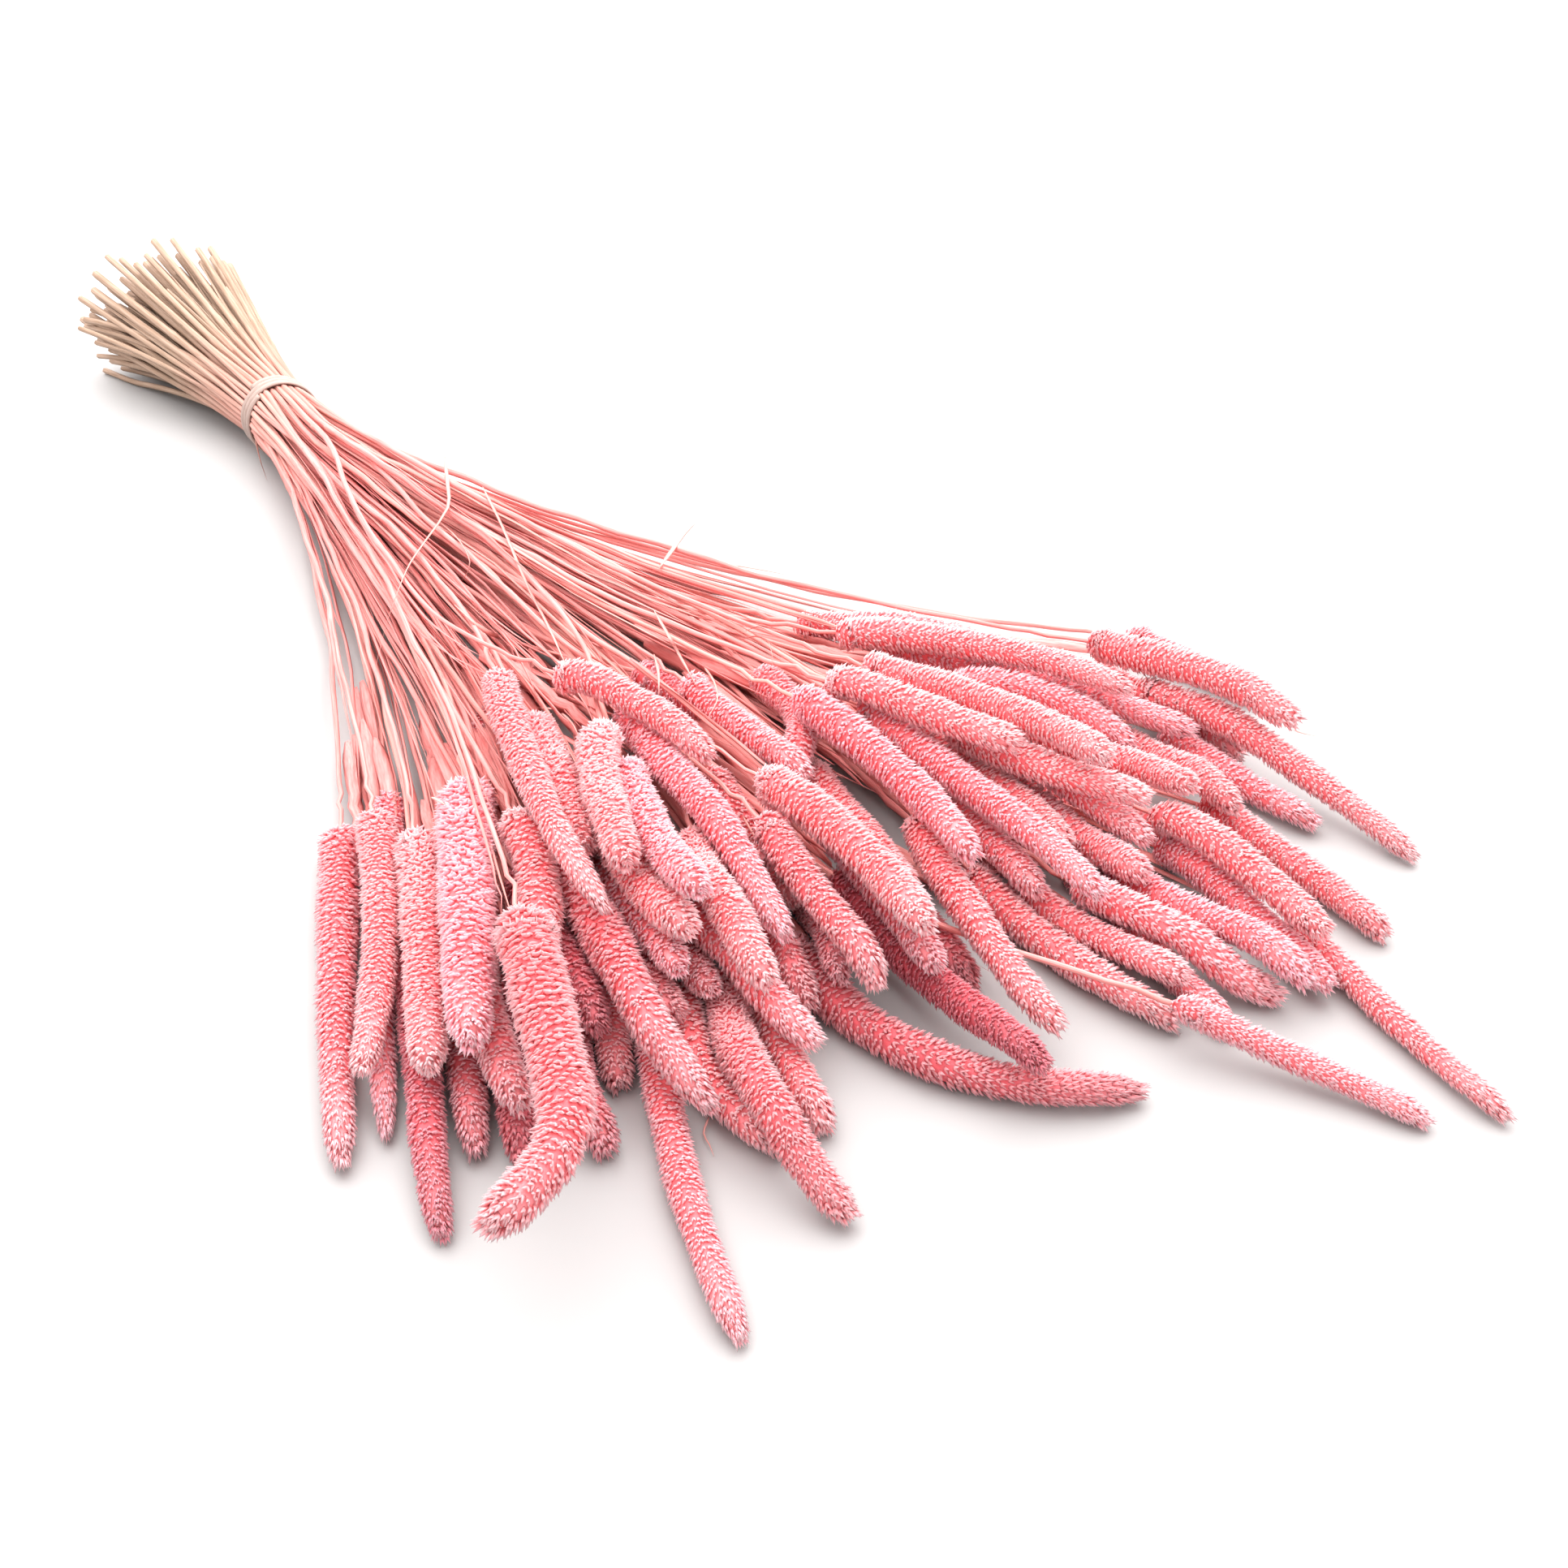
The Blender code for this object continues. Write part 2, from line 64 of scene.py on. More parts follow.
# %% The table
TABLE_HALF_SIDE = 6.0
TABLE_GREY = (0.37, 0.37, 0.37, 1)
floor_shape = bmesh.new()
bmesh.ops.create_grid(floor_shape, x_segments=1, y_segments=1, size=TABLE_HALF_SIDE)
floor_mesh = bpy.data.meshes.new("table_top")
floor_shape.to_mesh(floor_mesh)
floor_shape.free()
floor = bpy.data.objects.new("table_top", floor_mesh)
bpy.context.scene.collection.objects.link(floor)
floor_paint = bpy.data.materials.new("white table")
floor_paint.use_nodes = True
floor_shader = floor_paint.node_tree.nodes["Principled BSDF"]
floor_shader.inputs["Base Color"].default_value = TABLE_GREY
floor_shader.inputs["Roughness"].default_value = 0.6
floor_mesh.materials.append(floor_paint)
print("table", 2 * TABLE_HALF_SIDE, "m wide")

# %% The light
WINDOW_PLACE = Vector((-0.47, 0.42, 1.5))
LIT_PLACE = Vector((0.33, 0.0, 0.0))
SKY_COLOUR = (1.0, 0.955, 0.95, 1)
SKY_RANGE = {"From Min": -0.4, "From Max": 0.9, "To Min": 0.65, "To Max": 3.15}
world = bpy.data.worlds.new("bright room")
bpy.context.scene.world = world
world.use_nodes = True
sky = world.node_tree
sky.nodes["Background"].inputs["Color"].default_value = SKY_COLOUR
facing = sky.nodes.new("ShaderNodeVectorMath")
facing.operation = "DOT_PRODUCT"
facing.inputs[1].default_value = (WINDOW_PLACE - LIT_PLACE).normalized()
sky.links.new(sky.nodes.new("ShaderNodeTexCoord").outputs["Generated"], facing.inputs[0])
sky_strength = sky.nodes.new("ShaderNodeMapRange")
for socket, value in SKY_RANGE.items():
    sky_strength.inputs[socket].default_value = value
sky.links.new(facing.outputs["Value"], sky_strength.inputs["Value"])
sky.links.new(sky_strength.outputs["Result"], sky.nodes["Background"].inputs["Strength"])
bpy.context.scene.view_settings.view_transform = "Standard"
window = bpy.data.lights.new("window", "AREA")
window.shape = "SQUARE"
window.size = 2.6
window.energy = 46
window.color = (1.0, 0.99, 0.97)
window_lamp = bpy.data.objects.new("window", window)
bpy.context.scene.collection.objects.link(window_lamp)
window_lamp.location = WINDOW_PLACE
window_lamp.rotation_euler = (LIT_PLACE - WINDOW_PLACE).to_track_quat("-Z", "Y").to_euler()
print("lamp", round(window.size, 2), "m wide,", round((WINDOW_PLACE - LIT_PLACE).length, 2), "m away")

# %% [markdown]
# ## Camera
#
# The camera stands in front of the heads, 28 cm above the table, and looks down on the bunch at 35
# degrees. It is placed from the band, which is where the sizes were read from. Its lens follows from the
# photograph's side and its focal length, both in pixels.

# %% The camera
band_low, band_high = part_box("tie")
band_middle = (band_low + band_high) / 2
CAMERA_FROM_BAND = Vector((0.628, -0.177, 0.0))
CAMERA_HEIGHT = 0.278
CAMERA_PITCH = math.radians(35)
CAMERA_TURN = math.radians(57)
PHOTO_SIDE = 1932
FOCAL_PIXELS = 2118
SENSOR = 36.0
camera = bpy.data.cameras.new("camera")
camera.sensor_width = SENSOR
camera.lens = SENSOR * FOCAL_PIXELS / PHOTO_SIDE
camera.clip_start = 0.01
eye = bpy.data.objects.new("camera", camera)
bpy.context.scene.collection.objects.link(eye)
eye.location = Vector((band_middle.x, band_middle.y, CAMERA_HEIGHT)) + CAMERA_FROM_BAND
eye.rotation_euler = (math.pi / 2 - CAMERA_PITCH, 0, CAMERA_TURN)
bpy.context.scene.camera = eye
print("lens in mm", round(camera.lens, 1))

# %% [markdown]
# ## Reading the line of each stalk
#
# A stalk of the frame is a tube of four-cornered rings. Its line is the middle of each ring, and its
# thickness is the distance of the corners from there. A node of the frame holds one stalk, or two that are
# sunk into each other inside the band, so a node is cut at the band: each loose piece left over is half a
# stalk, and its rings are counted outwards from the band, one step along the mesh at a time.

# %% Rings of one loose piece
BAND_REACH = 0.009
RING_CORNERS = 4


def rings_outwards(points, neighbours, piece):
    """Middles and radii of the rings of a piece, from the band outwards."""
    ring = sorted(piece, key=lambda i: abs(points[i][0]))[:RING_CORNERS]
    seen = set(ring)
    middles = []
    radii = []
    while ring:
        corners = np.array([points[i] for i in ring])
        middles.append(corners.mean(axis=0))
        radii.append(np.linalg.norm(corners - corners.mean(axis=0), axis=1).mean())
        found = {j for i in ring for j in neighbours[i] if j in piece and j not in seen}
        seen |= found
        ring = sorted(found)
    return np.array(middles), np.array(radii)


# %% The stalks of one node
def stalks_of(node):
    """Each stalk of a node as one line of ring middles and radii, from its cut end to its tip."""
    shape = bmesh.new()
    shape.from_mesh(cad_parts[node].data)
    bmesh.ops.remove_doubles(shape, verts=shape.verts, dist=1e-6)
    shape.verts.ensure_lookup_table()
    points = [np.array(v.co) for v in shape.verts]
    neighbours = [
        {other.index for other in (e.other_vert(v) for e in v.link_edges) if other.co.x * v.co.x > 0}
        for v in shape.verts
    ]
    shape.free()
    left = {i for i, p in enumerate(points) if abs(p[0]) > BAND_REACH}
    behind = []
    ahead = []
    while left:
        start = left.pop()
        piece = {start}
        edge = [start]
        while edge:
            found = {j for j in neighbours[edge.pop()] if j in left}
            left -= found
            piece |= found
            edge += list(found)
        side = ahead if points[start][0] > 0 else behind
        side.append(rings_outwards(points, neighbours, piece))
    stalks = []
    for middles, radii in ahead:
        back = min(behind, key=lambda b: np.linalg.norm(b[0][0][1:] - middles[0][1:]))
        stalks.append((np.vstack([back[0][::-1], middles]), np.concatenate([back[1][::-1], radii])))
    return stalks


STALK_NODES = sorted(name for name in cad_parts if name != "tie")
stalk_lines = [(node, line, radii) for node in STALK_NODES for line, radii in stalks_of(node)]
print("stalks", len(stalk_lines), "rings in each", sorted({len(line) for _, line, _ in stalk_lines}))

# %% [markdown]
# ## A smooth line with a frame that follows it
#
# The frame's lines have corners. A Catmull-Rom curve runs smoothly through the same points. To bend a
# straight model along it, each point of the curve needs two directions across it: they are carried along
# the curve from the first point, which never twists the model.

# %% The curve and its directions
STEP = 1.5 * MM
LEAST_HEIGHT = 0.2 * MM


def distances_along(points):
    return np.concatenate([[0], np.cumsum(np.linalg.norm(np.diff(points, axis=0), axis=1))])


def smooth_line(points):
    """Points about a step apart on a smooth curve through the given ones."""
    ends = np.vstack([2 * points[0] - points[1], points, 2 * points[-1] - points[-2]])
    made = []
    for i in range(1, len(ends) - 2):
        a, b, c, d = ends[i - 1 : i + 3]
        count = max(2, int(np.linalg.norm(c - b) / STEP))
        t = np.linspace(0, 1, count, endpoint=False)[:, None]
        steady = (c - a) * t
        square = (2 * a - 5 * b + 4 * c - d) * t**2
        cube = (3 * b - a - 3 * c + d) * t**3
        made.append(0.5 * (2 * b + steady + square + cube))
    made.append(ends[-2][None, :])
    return np.vstack(made)


def carried_directions(points):
    """For each point of a line, its tangent and two directions across it that never twist."""
    tangents = np.gradient(points, axis=0)
    tangents /= np.linalg.norm(tangents, axis=1)[:, None]
    side = np.cross(tangents[0], (0, 0, 1))
    sides = []
    for tangent in tangents:
        side = side - tangent * side.dot(tangent)
        side = side / np.linalg.norm(side)
        sides.append(side)
    sides = np.array(sides)
    return tangents, sides, np.cross(tangents, sides)


# %% Bending a straight model onto a line
def points_of(mesh):
    flat = np.zeros(len(mesh.vertices) * 3)
    mesh.vertices.foreach_get("co", flat)
    return flat.reshape(-1, 3)


def bend(mesh, points, along, across, directions=None):
    """Moves a straight mesh, modelled along X, onto a line: along maps its X to the line's length."""
    straight = points_of(mesh)
    run = distances_along(points)
    tangents, sides, ups = directions or carried_directions(points)
    place = along(straight[:, 0])
    scale = across(straight[:, 0])
    moved = np.zeros_like(straight)
    for axis in range(3):
        middle = np.interp(place, run, points[:, axis])
        beyond = (place - np.clip(place, run[0], run[-1])) * np.interp(place, run, tangents[:, axis])
        side = np.interp(place, run, sides[:, axis]) * straight[:, 1]
        up = np.interp(place, run, ups[:, axis]) * straight[:, 2]
        moved[:, axis] = middle + beyond + scale * (side + up)
    moved[:, 2] = np.maximum(moved[:, 2], LEAST_HEIGHT)
    mesh.vertices.foreach_set("co", moved.reshape(-1))
    mesh.update()


# %% [markdown]
# ## One floret
#
# Under a lens a timothy head is packed with flat spikelets. Each has two stiff pointed horns with a notch
# between them, like a tiny U. From a step away the pale horn tips are what shows, over a deep pink inside.
# The coarsest ball, with five sides and two poles, has just the ten faces that this needs: its five
# corners become the outline of the U, and its poles the back and the belly.

# %% The floret
#            across, out, up, and how pale
FLORET_OUTLINE = {
    "left horn": (-0.72, -0.25, 2.55, 1.0),
    "notch": (0.0, 0.0, 1.30, 0.45),
    "right horn": (0.72, -0.25, 2.55, 1.0),
    "right foot": (0.60, 0.0, 0.0, 0.0),
    "left foot": (-0.60, 0.0, 0.0, 0.0),
}
FLORET_BACK = (0.0, -0.55, 1.10, 0.45)
FLORET_BELLY = (0.0, 0.25, 1.0, 0.3)

floret_shape = bmesh.new()
paleness = floret_shape.verts.layers.float.new("tip")
ball = bmesh.ops.create_uvsphere(floret_shape, u_segments=5, v_segments=2, radius=1.0)["verts"]
poles = sorted(ball, key=lambda v: v.co.z)
rim = sorted(poles[1:-1], key=lambda v: math.atan2(v.co.y, v.co.x))
corners = [poles[0], poles[-1], *rim]
places = [FLORET_BELLY, FLORET_BACK, *FLORET_OUTLINE.values()]
for corner, (across, out, up, pale) in zip(corners, places):
    corner.co = (out, across, up)
    corner[paleness] = pale
bmesh.ops.recalc_face_normals(floret_shape, faces=floret_shape.faces)
floret = bpy.data.meshes.new("floret")
floret_shape.verts.index_update()
floret_paleness = [vert[paleness] for vert in floret_shape.verts]
floret_shape.to_mesh(floret)
floret_shape.free()
print("a floret has", len(floret.polygons), "faces")

# %% [markdown]
# ## One straight head
#
# The florets stand in wavy rings round a slim core, each ring turned half a step from the last. At the
# base they stand nearly straight out, along the head they lean forward, and over the last centimetre they
# close into a small tuft. A particle system could scatter them, but rows placed by a loop look grown. A
# little seeded unevenness keeps the rows from looking printed. Three heads are modelled, short, middling
# and long, and every stalk takes a copy of the one nearest its own length. Lengths here are in mm.

# %% Shape of the head
HEAD_RADIUS = 5.0
CORE_RADIUS = 3.85
RING_PITCH = 1.34
FLORETS_ROUND = 17
HEAD_LENGTHS = (58.0, 74.0, 96.0)
BASE_DOME = 4.5
TIP_DOME = 10.0
CORE_SHORT = 1.4
BASE_LEAN = 24
LEAN_SOON_GAINED = 22
LEAN_SETTLES_AT = 8.0
LEAN_LATER_GAINED = 8
CLOSED_LEAN = 80


def core_radius(x, length):
    """The core's radius along a head: a short dome at the base, and a longer one at the tip."""
    from_base = min(1.0, (x + 0.3) / BASE_DOME)
    from_tip = min(1.0, (length - x + 0.1) / TIP_DOME)
    return CORE_RADIUS * math.sqrt(1 - (1 - from_base) ** 2) * math.sqrt(1 - (1 - from_tip) ** 2)


def lean_of(x, length):
    """How far a floret leans towards the tip, in degrees."""
    lean = BASE_LEAN + LEAN_SOON_GAINED * min(1.0, x / LEAN_SETTLES_AT) + LEAN_LATER_GAINED * x / length
    closing = max(0.0, 1 - (length - x) / TIP_DOME)
    return lean + (CLOSED_LEAN - lean) * closing**1.2


print("core radius in mm at 1, 5 and 50 along", [round(core_radius(x, 96.0), 2) for x in (1, 5, 50)])


# %% A tube of rings, pulled out of a circle
def tube(shape, length, steps, sides, radius_at):
    """A closed tube along X in an empty shape, whose radius follows radius_at."""
    ring = bmesh.ops.create_circle(shape, cap_ends=False, radius=1.0, segments=sides)["verts"]
    bmesh.ops.rotate(shape, verts=ring, cent=(0, 0, 0), matrix=Matrix.Rotation(math.pi / 2, 3, "Y"))
    edges = list(shape.edges)
    rings = [ring]
    for _ in range(steps):
        grown = bmesh.ops.extrude_edge_only(shape, edges=edges)["geom"]
        ring = [item for item in grown if isinstance(item, bmesh.types.BMVert)]
        grown_edges = [item for item in grown if isinstance(item, bmesh.types.BMEdge)]
        edges = [edge for edge in grown_edges if set(edge.verts) <= set(ring)]
        rings.append(ring)
    for i, ring in enumerate(rings):
        x = i / steps * length
        for vert in ring:
            vert.co *= radius_at(x)
            vert.co.x = x
    bmesh.ops.holes_fill(shape, edges=[e for e in shape.edges if e.is_boundary], sides=0)
    bmesh.ops.recalc_face_normals(shape, faces=shape.faces)


# %% One floret on a head
FLORET_TILT = 0.16
FLORET_TURN = 0.35
FLORET_SIZES = (0.82, 1.12)


def add_floret(shape, x, length, angle, radius, lean, scale):
    """Stands one floret on the head: lean is in degrees from straight out towards the tip."""
    tip_layer = shape.verts.layers.float["tip"]
    along_layer = shape.verts.layers.float["along"]
    before = len(shape.verts)
    shape.from_mesh(floret)
    shape.verts.ensure_lookup_table()
    new = shape.verts[before:]
    for vert, pale in zip(new, floret_paleness):
        vert[tip_layer] = pale
        vert[along_layer] = x / length
    place = (
        Matrix.Translation((x, 0, 0))
        @ Matrix.Rotation(angle, 4, "X")
        @ Matrix.Translation((0, 0, radius))
        @ Matrix.Rotation(math.radians(lean) + random.uniform(-FLORET_TILT, FLORET_TILT), 4, "Y")
        @ Matrix.Rotation(random.uniform(-FLORET_TILT, FLORET_TILT), 4, "X")
        @ Matrix.Rotation(random.uniform(-FLORET_TURN, FLORET_TURN), 4, "Z")
        @ Matrix.Scale(scale * random.uniform(*FLORET_SIZES), 4)
    )
    bmesh.ops.transform(shape, verts=new, matrix=place)


# %% The straight head
CORE_STEP = 2.4
CORE_SIDES = 10
FIRST_ROW = 0.2
LAST_ROW_SHORT = 1.0
FEWEST_ROUND = 6
ROW_SPACING = (0.85, 1.15)
ROW_WAVE = 0.7
WAVE_DRIFT = 0.7
ROW_SHIFT = 0.42
ANGLE_SHIFT = 0.22
TIP_ANGLE_SHIFT = 0.6
TIP_SHIFT = (-1.4, 0.4)
ROOT_IN_CORE = 0.5
TUFT_FLORETS = 9
TUFT_ANGLE = 2.4
TUFT_RADIUS = 0.8
TUFT_SHORT = 2.6
TUFT_LEAN = 86
TUFT_OPENS = 16
TUFT_SIZE = 0.95
TIP_SIZE = 0.12


def straight_head(length):
    """A head of this length along X: a core, rows of florets and a tuft at the tip."""
    shape = bmesh.new()
    shape.verts.layers.float.new("tip")
    along_layer = shape.verts.layers.float.new("along")
    core = length - CORE_SHORT
    tube(shape, core, int(core / CORE_STEP), CORE_SIDES, lambda x: core_radius(x, core))
    for vert in shape.verts:
        vert[along_layer] = vert.co.x / length
    x = FIRST_ROW
    row = 0
    wave = 0.0
    while x < length - LAST_ROW_SHORT:
        radius = core_radius(x, length)
        closed = max(0.0, 1 - (length - x) / TIP_DOME)
        count = max(FEWEST_ROUND, round(FLORETS_ROUND * radius / CORE_RADIUS))
        wave += random.uniform(-WAVE_DRIFT, WAVE_DRIFT)
        for i in range(count):
            angle = 2 * math.pi * (i + 0.5 * (row % 2) + random.uniform(-ANGLE_SHIFT, ANGLE_SHIFT)) / count
            angle += closed * random.uniform(-TIP_ANGLE_SHIFT, TIP_ANGLE_SHIFT)
            ripple = ROW_WAVE * math.sin(2 * angle + wave) + random.uniform(-ROW_SHIFT, ROW_SHIFT)
            ripple = ripple * (1 - closed) + closed * random.uniform(*TIP_SHIFT)
            out = max(0.1, radius - ROOT_IN_CORE)
            size = 1 + TIP_SIZE * closed
            add_floret(shape, x + ripple, length, angle, out, lean_of(x, length), size)
        x += RING_PITCH * random.uniform(*ROW_SPACING) * (0.5 + 0.5 * radius / CORE_RADIUS)
        row += 1
    for i in range(TUFT_FLORETS):
        out = TUFT_RADIUS * math.sqrt(i / TUFT_FLORETS)
        at = length - TUFT_SHORT + random.uniform(0, 0.7)
        add_floret(shape, at, length, TUFT_ANGLE * i, out, TUFT_LEAN - TUFT_OPENS * out, TUFT_SIZE)
    bmesh.ops.triangulate(shape, faces=shape.faces)
    mesh = bpy.data.meshes.new("straight head")
    shape.to_mesh(mesh)
    shape.free()
    return mesh


heads = [(length, straight_head(length)) for length in HEAD_LENGTHS]
print("faces of the straight heads", [len(mesh.polygons) for _, mesh in heads])

# %% [markdown]
# ## One straight stem and one straight leaf
#
# A stem is a thin tube with a slight swelling where a leaf once grew. It is one unit long and one unit in
# radius, so that each stalk can set its own length and thickness. A dried leaf is the same tube, narrowed
# to a point, and the tape is a plain one. Leaf and tape are pressed flat later. A bevelled curve would
# also give a stem, but a straight tube keeps its own shape as an attribute, "rest", so that the fibres in
# its material run along it however it is bent.

# %% The straight stem, leaf and tape
STEM_RINGS = 84
STEM_SIDES = 6
LEAF_RINGS = 20
LEAF_SIDES = 5
TAPE_RINGS = 220
TAPE_SIDES = 10
JOINTS = (0.17, 0.44, 0.71)
JOINT_SWELLING = 0.28
JOINT_REACH = 0.008
LEAF_TAPER = 0.6
LEAF_FOOT = 0.35
LEAF_POINT = 0.02


def joint_swelling(x):
    """A stem's radius: slightly swollen at its joints."""
    return 1 + JOINT_SWELLING * max(math.exp(-(((x - joint) / JOINT_REACH) ** 2)) for joint in JOINTS)


def leaf_width(x):
    """A leaf's half width: narrow at its foot, widest soon after it, and pointed at its end."""
    return (1 - x) ** LEAF_TAPER * min(1.0, LEAF_FOOT + 5 * x) + LEAF_POINT


def straight_tube(name, steps, sides, radius_at):
    """A tube one unit long that remembers its straight shape."""
    shape = bmesh.new()
    tube(shape, 1.0, steps, sides, radius_at)
    bmesh.ops.triangulate(shape, faces=shape.faces)
    rest = shape.verts.layers.float_vector.new("rest")
    for vert in shape.verts:
        vert[rest] = vert.co
    mesh = bpy.data.meshes.new(name)
    shape.to_mesh(mesh)
    shape.free()
    return mesh


straight_stem = straight_tube("straight stem", STEM_RINGS, STEM_SIDES, joint_swelling)
straight_leaf = straight_tube("straight leaf", LEAF_RINGS, LEAF_SIDES, leaf_width)
straight_tape = straight_tube("straight tape", TAPE_RINGS, TAPE_SIDES, lambda x: 1.0)
for mesh in (straight_stem, straight_leaf, straight_tape):
    print(mesh.name, "has", len(mesh.polygons), "faces")

# %% [markdown]
# ## Shared shader nodes
#
# Dye takes unevenly in dried grass. The same slow mottling is used on heads, stems and leaves, so it is a
# group: it takes two colours and mixes them by noise in the object's own coordinates. A second group
# gives the long fibres of a dried stem, leaf or tape from the "rest" attribute. Small helpers keep the
# materials short.


# %% Helpers for node trees
def add_node(tree, kind, links=(), **values):
    """A node with its settings, its socket values and its links."""
    node = tree.nodes.new(kind)
    for name, value in values.items():
        setattr(node, name, value)
    for socket, value in dict(links).items():
        if isinstance(value, bpy.types.NodeSocket):
            tree.links.new(value, node.inputs[socket])
        else:
            node.inputs[socket].default_value = value
    return node


def attribute_of(tree, name):
    return add_node(tree, "ShaderNodeAttribute", attribute_name=name).outputs["Fac"]


def colour_mix(tree, factor, first, second):
    links = {"Factor": factor, "A": first, "B": second}
    return add_node(tree, "ShaderNodeMix", links, data_type="RGBA").outputs["Result"]


def ramp_between(tree, value, low, high, to_low=0.0, to_high=1.0):
    links = {"Value": value, "From Min": low, "From Max": high, "To Min": to_low, "To Max": to_high}
    return add_node(tree, "ShaderNodeMapRange", links).outputs["Result"]


def new_group(name, inputs, outputs):
    group = bpy.data.node_groups.new(name, "ShaderNodeTree")
    for socket, kind in inputs.items():
        group.interface.new_socket(socket, in_out="INPUT", socket_type=kind)
    for socket, kind in outputs.items():
        group.interface.new_socket(socket, in_out="OUTPUT", socket_type=kind)
    return group, group.nodes.new("NodeGroupInput").outputs


# %% The uneven dye group
uneven_dye, given = new_group(
    "uneven dye",
    {"Strong": "NodeSocketColor", "Weak": "NodeSocketColor", "Scale": "NodeSocketFloat"},
    {"Color": "NodeSocketColor"},
)
where = add_node(uneven_dye, "ShaderNodeTexCoord").outputs["Object"]
mottling = {"Vector": where, "Scale": given["Scale"], "Detail": 3.0}
mottle = add_node(uneven_dye, "ShaderNodeTexNoise", mottling)
share = ramp_between(uneven_dye, mottle.outputs["Fac"], 0.36, 0.64)
dye_colour = colour_mix(uneven_dye, share, given["Strong"], given["Weak"])
add_node(uneven_dye, "NodeGroupOutput", {"Color": dye_colour})
print("group", uneven_dye.name, "with", len(uneven_dye.nodes), "nodes")


def dyed(tree, strong, weak, scale):
    links = {"Strong": strong, "Weak": weak, "Scale": scale}
    return add_node(tree, "ShaderNodeGroup", node_tree=uneven_dye, links=links).outputs["Color"]


# %% The long fibres group
# The fourth coordinate of the noise comes from the tint, so that no two stems have the same streaks.
PATTERNS_APART = 50.0
long_fibres, given = new_group(
    "long fibres",
    {"Along": "NodeSocketFloat", "Across": "NodeSocketFloat"},
    {"Mask": "NodeSocketFloat"},
)
rest = add_node(long_fibres, "ShaderNodeAttribute", attribute_name="rest").outputs["Vector"]
tint = attribute_of(long_fibres, "tint")
stretch = add_node(
    long_fibres, "ShaderNodeCombineXYZ", {"X": given["Along"], "Y": given["Across"], "Z": given["Across"]}
).outputs["Vector"]
laid = add_node(long_fibres, "ShaderNodeVectorMath", {0: rest, 1: stretch}, operation="MULTIPLY")
apart = add_node(long_fibres, "ShaderNodeMath", {0: tint, 1: PATTERNS_APART}, operation="MULTIPLY")
fibre = add_node(
    long_fibres,
    "ShaderNodeTexNoise",
    {"Vector": laid.outputs["Vector"], "W": apart.outputs["Value"], "Scale": 1.0, "Detail": 2.0},
    noise_dimensions="4D",
)
fibre_mask = ramp_between(long_fibres, fibre.outputs["Fac"], 0.32, 0.68)
add_node(long_fibres, "NodeGroupOutput", {"Mask": fibre_mask})
print("group", long_fibres.name, "with", len(long_fibres.nodes), "nodes")


def fibres(tree, along, across):
    links = {"Along": along, "Across": across}
    return add_node(tree, "ShaderNodeGroup", node_tree=long_fibres, links=links).outputs["Mask"]


# %% A new material with bump
def new_paint(name):
    paint = bpy.data.materials.new(name)
    paint.use_nodes = True
    tree = paint.node_tree
    return paint, tree, tree.nodes["Principled BSDF"]


def raise_by(tree, shader, height, strength, distance):
    bump = add_node(tree, "ShaderNodeBump", {"Height": height, "Strength": strength, "Distance": distance})
    tree.links.new(bump.outputs["Normal"], shader.inputs["Normal"])


# %% [markdown]
# ## Colour of the heads
#
# Each floret is deep coral at its root, partly its dye and partly painted shade down between the florets,
# pink along its horns and palest at their tips. How pale a point is was stored on the floret as "tip", and
# the colours follow it. Near the end of a head, which "along" measures, the tips turn paler. "tint" and
# "deep" are one number each for a whole head: some took the dye as a warm pink and some as a cooler rose,
# and "deep" paints a head darker, partly as more dye and partly as painted shade on the heads low in the
# heap. Light soaks a little way into the thin florets, which keeps the shaded ones red. Numbers stored on
# the mesh suit this better than an image, because the heads have thousands of tiny faces.

# %% The head material
# Root colour: partly the dye, partly painted shade in the crevices between the florets.
ROOT_CORAL_AND_SHADE = (0.97, 0.20, 0.22, 1)
# Dark rose: partly more dye, partly painted shade for heads low in the heap.
DYE_AND_SHADE_ROSE = (0.42, 0.055, 0.08, 1)
WARM_PINK = (1.0, 0.42, 0.44, 1)
WORN_PINK = (1.0, 0.50, 0.52, 1)
COOL_ROSE = (1.0, 0.44, 0.51, 1)
HORN_PINK = (1.0, 0.56, 0.585, 1)
TIP_PALE = (1.0, 0.72, 0.745, 1)
MOTTLE_SCALE = 22.0
MOST_DYE_AND_SHADE = 0.92
GRAIN_SCALE = 1400.0
GRAIN_HEIGHT = 0.3 * MM
LIGHT_SOAKS = 2.0 * MM

head_paint, tree, shader = new_paint("dyed florets")
height = attribute_of(tree, "tip")
along = attribute_of(tree, "along")
tint = attribute_of(tree, "tint")
deep = attribute_of(tree, "deep")
warm = dyed(tree, WARM_PINK, WORN_PINK, MOTTLE_SCALE)
flesh = colour_mix(tree, ramp_between(tree, tint, 0.4, 1.0), warm, COOL_ROSE)
near_tip = ramp_between(tree, along, 0.72, 1.0)
root = colour_mix(tree, near_tip, ROOT_CORAL_AND_SHADE, WARM_PINK)
# Darker towards each floret's root: partly the dye, partly painted shade between the florets.
body = colour_mix(tree, ramp_between(tree, height, 0.0, 0.45), root, flesh)
pale = colour_mix(tree, near_tip, HORN_PINK, TIP_PALE)
bright = colour_mix(tree, ramp_between(tree, height, 0.5, 1.0), body, pale)
